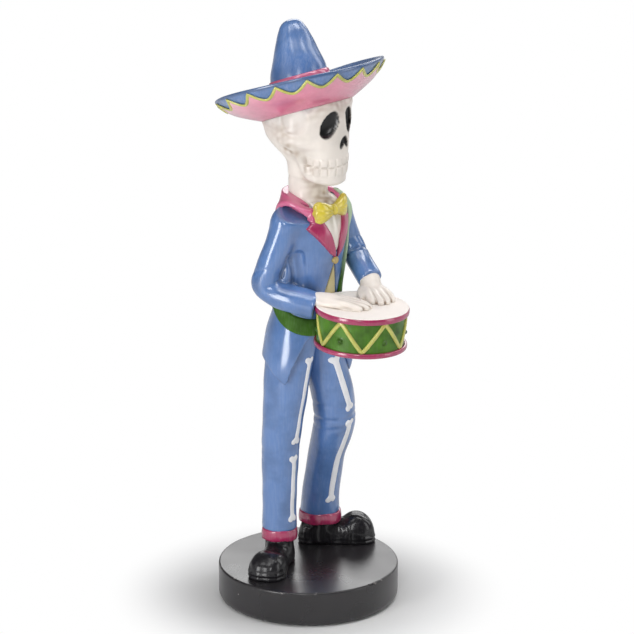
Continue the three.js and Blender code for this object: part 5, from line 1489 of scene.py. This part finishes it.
def make_hat():
    sizes = bpy.context.scene.figurine_sizes
    place = hat_place()
    under, _ = under_line(np.linspace(0.05, 1, 30), 0.0)
    upper = rounded([tuple(under[-1]) + (0,)] + RIM + BRIM_FLAT)
    profile = np.concatenate([[[CAP, HAT_FLOOR], [HEAD_HOLE, HAT_FLOOR]], under, upper[1:]])
    brim = turned("hat_brim_visual", profile, BRIM_SIDES, place, brim_wave)
    # Painted shade: a darker blue on the outer edge of the rim
    mark(brim, "rim", np.repeat(ramp(profile[:, 0], *RIM_SHADE_BAND), BRIM_SIDES))
    settle(brim, ["hat_brim"], "blue_paint", hat_paint())
    t = np.linspace(0, 1, 48)
    line = np.array(CROWN)
    radius = CROWN_RADIUS * smooth_line(t, line[:, 0], line[:, 1])
    height = BRIM_TOP + t * (CROWN_HEIGHT - BRIM_TOP)
    crown = turned("hat_crown_visual", np.stack([radius, height], axis=1), 96, place, crown_lean)
    settle(crown, ["hat_crown"], "blue_paint", hat_paint())
    ring = turned("hat_band_visual", rounded(BAND) + [0, BRIM_TOP], 96, place, crown_lean, ring=True)
    settle(ring, ["hat_band"], "pink_paint", lining_paint())
    make_lining(place, sizes.cord_width / MM)


def make_lining(place, cord_width):
    columns = SCALLOPS * SCALLOP_STEPS
    angle = np.linspace(0, 2 * math.pi, columns, endpoint=False)
    edge = scallop_edge(angle)
    share = edge[:, None] * np.linspace(0, 1, LINING_STEPS)
    inside = under_line(share, LINING_SINK)[0]
    outside = under_line(share, LINING_RISE)[0][:, ::-1]
    points = swept(angle[:, None], np.concatenate([inside, outside], axis=1))
    points = points + brim_wave(points)
    faces = grid_faces(columns, points.shape[1], close_rows=True)
    lining = mesh_object("brim_lining_visual", points.reshape(-1, 3), faces, place)
    reach = np.hypot(points[..., 0], points[..., 1]).reshape(-1) / BRIM_RADIUS
    # Painted sheen: the paleness grows at the two ends of the brim that lie left and right of the camera
    sideways_sheen = np.repeat(np.cos(angle - math.radians(LINING_SHEEN_TURN)) ** 2, points.shape[1])
    mark(lining, "pale", ramp(reach, LINING_FADE_FROM, 1.0) * (LINING_PALE + LINING_SHEEN * sideways_sheen))
    settle(lining, ["brim_lining"], "pink_paint", lining_paint())
    line, out = under_line(edge, LINING_RISE)
    centre = swept(angle, line)
    centre = centre + brim_wave(centre)
    cord = closed_cord("brim_cord_visual", centre, swept(angle, out), cord_width / 2, CORD_RISE, place)
    settle(cord, ["brim_cord"], "yellow_paint", lacing_paint())


def closed_cord(name, centre, up, half, rise, place, sides=12):
    """A flattened bead of thick paint along a closed line."""
    along = np.roll(centre, -1, axis=0) - np.roll(centre, 1, axis=0)
    along /= np.linalg.norm(along, axis=1, keepdims=True)
    side = np.cross(up, along)
    side /= np.linalg.norm(side, axis=1, keepdims=True)
    turn = np.linspace(0, 2 * math.pi, sides, endpoint=False)[:, None]
    ring = half * np.cos(turn) * side[:, None, :] + rise * np.sin(turn) * up[:, None, :]
    points = centre[:, None, :] + ring
    faces = [tuple(reversed(face)) for face in grid_faces(len(centre), sides, close_rows=True)]
    return mesh_object(name, points.reshape(-1, 3), faces, place)


# Drum: in a frame at the centre of its lower head
STUD_RADIUS = 0.95
STUD_HEIGHT = 0.36
STUD_DARK = 0.6
DRUM_HEAD = [
    (CAP, -0.1, 0), (16.8, -0.1, 0), (17.2, 0.5, 0), (18.2, 0.55, 0.2), (18.1, 0.9, 0.2),
    (16.0, 0.85, 0.5), (8.0, 0.7, 0), (CAP, 0.7, 0),
]
LOW_HEAD_SHARE = 0.96
DRUM_SIDES = 120
HOOP_INNER = 16.8
HOOP_LAP = 0.1
LOW_HOOP_SET_IN = 0.3
DRUM_TOP = DRUM_HEIGHT + HEAD_THICKNESS
LACE_LOW = 1.8
LACE_HIGH = 12.5
LACE_WIDTH = 1.7
LACE_RISE = 0.6
LACE_LIFT = 0.1
LACE_SHARPNESS = 0.985
LACE_STEPS = 28
LOW_HOOP_HEIGHT = 1.9


def drum_place():
    return above_base(*DRUM_PLACE) @ spin(DRUM_TILT)


def make_drum_shell(place):
    clay = Clay((-18.5, -18.5, -0.6), (18.5, 18.5, 15.2), 0.36)
    ends = np.abs(clay.z - DRUM_HEIGHT / 2) - DRUM_HEIGHT / 2
    shell = np.maximum(np.hypot(clay.x, clay.y) - DRUM_RADIUS, ends)
    dark = 0.0
    for i in range(LACE_TURNS):
        angle = math.radians(LACE_START + (i + 0.5) / LACE_TURNS * 360)
        spot = (DRUM_RADIUS * math.cos(angle), DRUM_RADIUS * math.sin(angle), DRUM_HEIGHT * STUD_HEIGHT)
        stud = egg(clay, spot, (STUD_RADIUS,) * 3)
        shell = blend(shell, stud, 0.4)
        dark = np.maximum(dark, np.clip(STUD_DARK - stud, 0, 1))
    drum = cast("drum_shell_visual", clay, shell + wobble(clay, 8, 0.08, 61), place, marks={"stud": dark})
    settle(drum, ["drum_shell"], "green_paint", drum_paint())


def make_drum_heads(place):
    head = rounded(DRUM_HEAD)
    low_head = head[::-1] * [LOW_HEAD_SHARE, -1]
    for name, profile in (("drum_top_head", head + [0, DRUM_HEIGHT]), ("drum_bottom_head", low_head)):
        skin = turned(name + "_visual", profile, DRUM_SIDES, place)
        settle(skin, [name], "cream_paint", drum_skin_paint())
    for name, low, tall, out in (
        ("drum_top_hoop", DRUM_TOP - HOOP_HEIGHT + HOOP_LAP, HOOP_HEIGHT, HOOP_OUTER),
        ("drum_bottom_hoop", -HEAD_THICKNESS - HOOP_LAP, LOW_HOOP_HEIGHT, HOOP_OUTER - LOW_HOOP_SET_IN),
    ):
        hoop = rounded([
            (HOOP_INNER, 0, 0), (out - 0.2, 0, 0.4), (out, tall / 2, 0.5), (out - 0.2, tall, 0.4),
            (HOOP_INNER, tall, 0),
        ])
        band = turned(name + "_visual", hoop + [0, low], DRUM_SIDES, place, ring=True)
        settle(band, [name], "pink_paint", pink_paint())


def make_drum_lacing(place):
    """The zigzag cord, a wave with its tips drawn almost to points."""
    angle = np.linspace(0, 2 * math.pi, LACE_TURNS * LACE_STEPS, endpoint=False)
    phase = (angle - math.radians(LACE_START)) * LACE_TURNS
    wave = np.arcsin(-LACE_SHARPNESS * np.cos(phase)) / math.asin(LACE_SHARPNESS)
    up = np.stack([np.cos(angle), np.sin(angle), np.zeros(len(angle))], axis=1)
    centre = up * (DRUM_RADIUS + LACE_LIFT)
    centre[:, 2] = (LACE_LOW + LACE_HIGH) / 2 + (LACE_HIGH - LACE_LOW) / 2 * wave
    lacing = closed_cord("drum_lacing_visual", centre, up, LACE_WIDTH / 2, LACE_RISE, place)
    settle(lacing, ["drum_lacing"], "yellow_paint", lacing_paint())


def drum_paint():
    """Green with dark blotches where the paint is thick, a dark ring round each stud, and darker green in the
    hollows as painted shade.
    """
    colour = chosen("green")
    return brushed_paint(
        "green gloss paint brushed on the drum", colour, toned(colour, -0.7), thin=0.02, thick=-0.6,
        gloss=0.25, varnish=0.1, layers=[("stud", toned(colour, -0.7))])


# Hands: each in a frame on the drum head, with its fingers along Y
FINGER_LENGTHS = [14.6, 16.6, 17.0, 15.6]
FINGER_PITCH = 2.2
FINGER_EASE = 0.28
WRIST_LIFT = 1.4
PALM = ((0, 6.8, 1.5), (4.9, 7.0, 2.0))
KNUCKLES = ((0, 11.6, 0.4), (5.0, 5.0, 1.5))
THUMB = [(3.0, 4.4, 1.8, 1.4), (4.4, 7.4, 1.5, 1.3), (5.0, 10.8, 1.2, 1.0)]
CURL_LIFT = 1.1
CURL_SHORTENS = 1.6
HAND_FLOOR = 0.1
# Node, wrist, way that the fingers point, side of the thumb, curl, and share of the width and length
HANDS = [
    ("right_hand", RIGHT_SLEEVE[-1], (8.4, -17.1), -1, 0.0, (1.05, 1.13)),
    ("left_hand", LEFT_WRIST, (-8.7, -14.5), 1, 0.1, (1.25, 1.08)),
]


def hand_form(clay, height, thumb, curl):
    """Wrist, palm and four fingers that lie close together, with a thumb. Curl lifts the middle joints."""
    wrist = [(0, -2.6, height, 2.6), (0, 0, height, 3.1), (0, 5.0, 2.0, 2.7)]
    body = blend(limb(clay, wrist, 9), egg(clay, *PALM), 2.0)
    body = blend(body, egg(clay, *KNUCKLES), 0.8)
    lift = CURL_LIFT * curl
    for i, length in enumerate(FINGER_LENGTHS):
        x = thumb * FINGER_PITCH * (i - (len(FINGER_LENGTHS) - 1) / 2)
        end = length - CURL_SHORTENS * curl
        finger = [
            (x * 0.7, 4.0, 2.7, 1.0), (x * 0.9, 9.0, 2.3, 1.25), (x, 12.2, 1.8 + lift, 1.2),
            (x, end - 0.6, 1.2 + 0.4 * lift, 1.2), (x, end + 1, 0.9, 1.0),
        ]
        body = blend(body, limb(clay, finger, 12), FINGER_EASE)
    body = blend(body, limb(clay, flipped(THUMB, thumb), 6), 1.0)
    return np.maximum(body, HAND_FLOOR - clay.z)


def make_hands():
    for name, wrist, reach, thumb, curl, (wide, long) in HANDS:
        at = drum_place().inverted() @ (above_base() @ Vector(wrist[:3]))
        height = max(at.z - DRUM_TOP, WRIST_LIFT)
        turn = math.atan2(-reach[0], reach[1])
        place = drum_place() @ Matrix.Translation((at.x, at.y, DRUM_TOP)) @ Matrix.Rotation(turn, 4, "Z")
        place = place @ Matrix.Diagonal((wide, long, 1, 1))
        clay = Clay((-9, -6, -0.6), (9, 20, 10), 0.25)
        hand = cast(name + "_visual", clay, hand_form(clay, height, thumb, curl), place, reach=1.2)
        settle(hand, [name], "bone_paint", bone_paint())


# Stage: a pale floor, a white surround and soft lights
AIM = (0.0, 0.0, 0.125)
FLOOR_HALF = 3.0
SHADOW_FROM = 0.037
SHADOW_TO = 0.08
WORLD_LIGHT = 0.2
WORLD_GLOSS = 0.08
# Name, turn to the left of the camera, lift, distance, width and height, and power
LIGHTS = [
    ("crown", 6.0, 20.0, 0.8, (0.16, 0.36), 1.1),
    ("sleeve", 42.0, 6.0, 0.62, (0.19, 0.36), 1.6),
    ("key", 32.0, 56.0, 1.3, (0.3, 0.4), 1.3),
    ("fill", 75.0, 28.0, 1.4, (0.7, 1.2), 1.4),
    ("side", -70.0, 12.0, 1.0, (0.35, 0.7), 1.6),
    ("rim", -115.0, 26.0, 1.4, (0.4, 1.0), 3.0),
    ("back", -166.0, 20.0, 1.5, (1.4, 0.5), 6.4),
    ("top", 10.0, 76.0, 1.3, (0.7, 0.7), 3.0),
    ("over", -82.0, 68.0, 0.8, (0.24, 0.4), 1.7),
]


def softbox(name, turn, lift, far, size, power):
    """A soft area light aimed at the figure, turned left of the camera and lifted, in degrees."""
    around = math.radians(CAMERA_TURN - 90 - turn)
    rise = math.radians(lift)
    away = Vector((math.cos(around) * math.cos(rise), math.sin(around) * math.cos(rise), math.sin(rise)))
    lamp = bpy.data.lights.new(name, "AREA")
    lamp.shape = "RECTANGLE"
    lamp.size, lamp.size_y = size
    lamp.energy = power
    light = bpy.data.objects.new(name, lamp)
    light.location = Vector(AIM) + away * far
    light.rotation_euler = away.to_track_quat("Z", "Y").to_euler()
    bpy.context.scene.collection.objects.link(light)
    return light


def floor_paper():
    """Pale matt paper: it keeps the shadow near the base and fades into the white surround."""
    material, tree, place = blank_material("pale matt paper")
    length = add(tree, "ShaderNodeVectorMath", {"operation": "LENGTH"}, {0: place})
    fade = add(tree, "ShaderNodeMapRange", {"interpolation_type": "SMOOTHSTEP"}, {
        "Value": length.outputs["Value"], "From Min": SHADOW_FROM, "From Max": SHADOW_TO})
    rays = add(tree, "ShaderNodeLightPath")
    seen = add(tree, "ShaderNodeMath", {"operation": "MULTIPLY"}, {
        0: rays.outputs["Is Camera Ray"], 1: fade.outputs[0]})
    paper = add(tree, "ShaderNodeBsdfDiffuse", None, {"Color": linear("#dcdcdc")})
    white = add(tree, "ShaderNodeEmission", None, {"Color": (1, 1, 1, 1), "Strength": 1.0})
    mix = add(tree, "ShaderNodeMixShader", None, {
        0: seen.outputs[0], 1: paper.outputs[0], 2: white.outputs[0]})
    add(tree, "ShaderNodeOutputMaterial", None, {"Surface": mix.outputs[0]})
    return material


def make_stage():
    scene = bpy.context.scene
    lens = bpy.data.cameras.new("camera")
    lens.lens = CAMERA_LENS
    lens.sensor_width = SENSOR
    lens.clip_end = 20.0
    camera = bpy.data.objects.new("camera", lens)
    camera.location = CAMERA_PLACE
    camera.rotation_euler = (math.radians(90 - CAMERA_DROP), 0.0, math.radians(CAMERA_TURN))
    scene.collection.objects.link(camera)
    scene.camera = camera
    corners = [(x * FLOOR_HALF, y * FLOOR_HALF, 0) for x, y in ((-1, -1), (1, -1), (1, 1), (-1, 1))]
    floor = mesh_object("floor", np.array(corners) / MM, [(0, 1, 2, 3)], Matrix.Identity(4))
    floor.data.materials.append(floor_paper())
    lights = [softbox(*light) for light in LIGHTS]
    world = scene.world or bpy.data.worlds.new("studio")
    scene.world = world
    world.use_nodes = True
    tree = world.node_tree
    tree.nodes.clear()
    rays = add(tree, "ShaderNodeLightPath")
    room = add(tree, "ShaderNodeMapRange", None, {
        "Value": rays.outputs["Is Glossy Ray"], "To Min": WORLD_LIGHT, "To Max": WORLD_GLOSS})
    strength = add(tree, "ShaderNodeMapRange", None, {
        "Value": rays.outputs["Is Camera Ray"], "To Min": room.outputs[0]})
    glow = add(tree, "ShaderNodeBackground", None, {"Color": (1, 1, 1, 1), "Strength": strength.outputs[0]})
    add(tree, "ShaderNodeOutputWorld", None, {"Surface": glow.outputs[0]})
    scene.view_settings.view_transform = "Standard"


class FIGURINE_OT_stage(bpy.types.Operator):
    """Sets up the floor, lights and camera"""
    bl_idname = "figurine.stage"
    bl_label = "Stage"

    def execute(self, context):
        make_stage()
        return {"FINISHED"}


class FIGURINE_OT_base(bpy.types.Operator):
    """Turns the round base with its felt pad and steel rods"""
    bl_idname = "figurine.base"
    bl_label = "Base"

    def execute(self, context):
        make_base()
        return {"FINISHED"}


class FIGURINE_OT_shoes(bpy.types.Operator):
    """Models the two black shoes"""
    bl_idname = "figurine.shoes"
    bl_label = "Shoes"

    def execute(self, context):
        make_shoes()
        return {"FINISHED"}


class FIGURINE_OT_trousers(bpy.types.Operator):
    """Models the trouser legs, their hems and the bones painted on them"""
    bl_idname = "figurine.trousers"
    bl_label = "Trousers"

    def execute(self, context):
        make_trousers()
        make_leg_bones()
        return {"FINISHED"}


class FIGURINE_OT_tailcoat(bpy.types.Operator):
    """Models the tailcoat and its sleeves"""
    bl_idname = "figurine.tailcoat"
    bl_label = "Tailcoat"

    def execute(self, context):
        make_tailcoat()
        return {"FINISHED"}


class FIGURINE_OT_coat_trim(bpy.types.Operator):
    """Models the shirt, lapels, collar, button and bow tie"""
    bl_idname = "figurine.coat_trim"
    bl_label = "Coat trim"

    def execute(self, context):
        make_shirt()
        make_collar()
        make_button()
        make_bow_tie()
        return {"FINISHED"}


class FIGURINE_OT_strap(bpy.types.Operator):
    """Models the drum strap over the chest, back and hip"""
    bl_idname = "figurine.strap"
    bl_label = "Drum strap"

    def execute(self, context):
        make_strap()
        return {"FINISHED"}


class FIGURINE_OT_skull(bpy.types.Operator):
    """Models the skull, jaw and neck"""
    bl_idname = "figurine.skull"
    bl_label = "Skull"

    def execute(self, context):
        make_skull()
        return {"FINISHED"}


class FIGURINE_OT_hat(bpy.types.Operator):
    """Models the hat, its band, lining and cord"""
    bl_idname = "figurine.hat"
    bl_label = "Hat"

    def execute(self, context):
        make_hat()
        return {"FINISHED"}


class FIGURINE_OT_drum(bpy.types.Operator):
    """Models the drum"""
    bl_idname = "figurine.drum"
    bl_label = "Drum"

    def execute(self, context):
        place = drum_place()
        make_drum_shell(place)
        make_drum_heads(place)
        make_drum_lacing(place)
        return {"FINISHED"}


class FIGURINE_OT_hands(bpy.types.Operator):
    """Models the hands on the drum head"""
    bl_idname = "figurine.hands"
    bl_label = "Hands"

    def execute(self, context):
        make_hands()
        return {"FINISHED"}


STEPS = (
    FIGURINE_OT_stage, FIGURINE_OT_base, FIGURINE_OT_shoes, FIGURINE_OT_trousers, FIGURINE_OT_tailcoat,
    FIGURINE_OT_coat_trim, FIGURINE_OT_strap, FIGURINE_OT_skull, FIGURINE_OT_hat, FIGURINE_OT_drum,
    FIGURINE_OT_hands,
)


class FIGURINE_PT_panel(bpy.types.Panel):
    """Colours, sizes and steps of the figurine"""
    bl_idname = "FIGURINE_PT_panel"
    bl_label = "Figurine"
    bl_space_type = "VIEW_3D"
    bl_region_type = "UI"
    bl_category = "Figurine"

    def draw(self, context):
        for group in (context.scene.figurine_paints, context.scene.figurine_sizes):
            for key in group.__annotations__:
                self.layout.prop(group, key)
        for step in STEPS:
            self.layout.operator(step.bl_idname)


CLASSES = (FigurinePaints, FigurineSizes, FIGURINE_PT_panel) + STEPS


def register():
    for each in CLASSES:
        bpy.utils.register_class(each)
    bpy.types.Scene.figurine_paints = PointerProperty(type=FigurinePaints)
    bpy.types.Scene.figurine_sizes = PointerProperty(type=FigurineSizes)


def unregister():
    del bpy.types.Scene.figurine_sizes
    del bpy.types.Scene.figurine_paints
    for each in reversed(CLASSES):
        bpy.utils.unregister_class(each)


def main():
    register()
    bpy.ops.figurine.stage()
    bpy.ops.figurine.base()
    bpy.ops.figurine.shoes()
    bpy.ops.figurine.trousers()
    bpy.ops.figurine.tailcoat()
    bpy.ops.figurine.coat_trim()
    bpy.ops.figurine.strap()
    bpy.ops.figurine.skull()
    bpy.ops.figurine.hat()
    bpy.ops.figurine.drum()
    bpy.ops.figurine.hands()


if __name__ == "__main__":
    main()
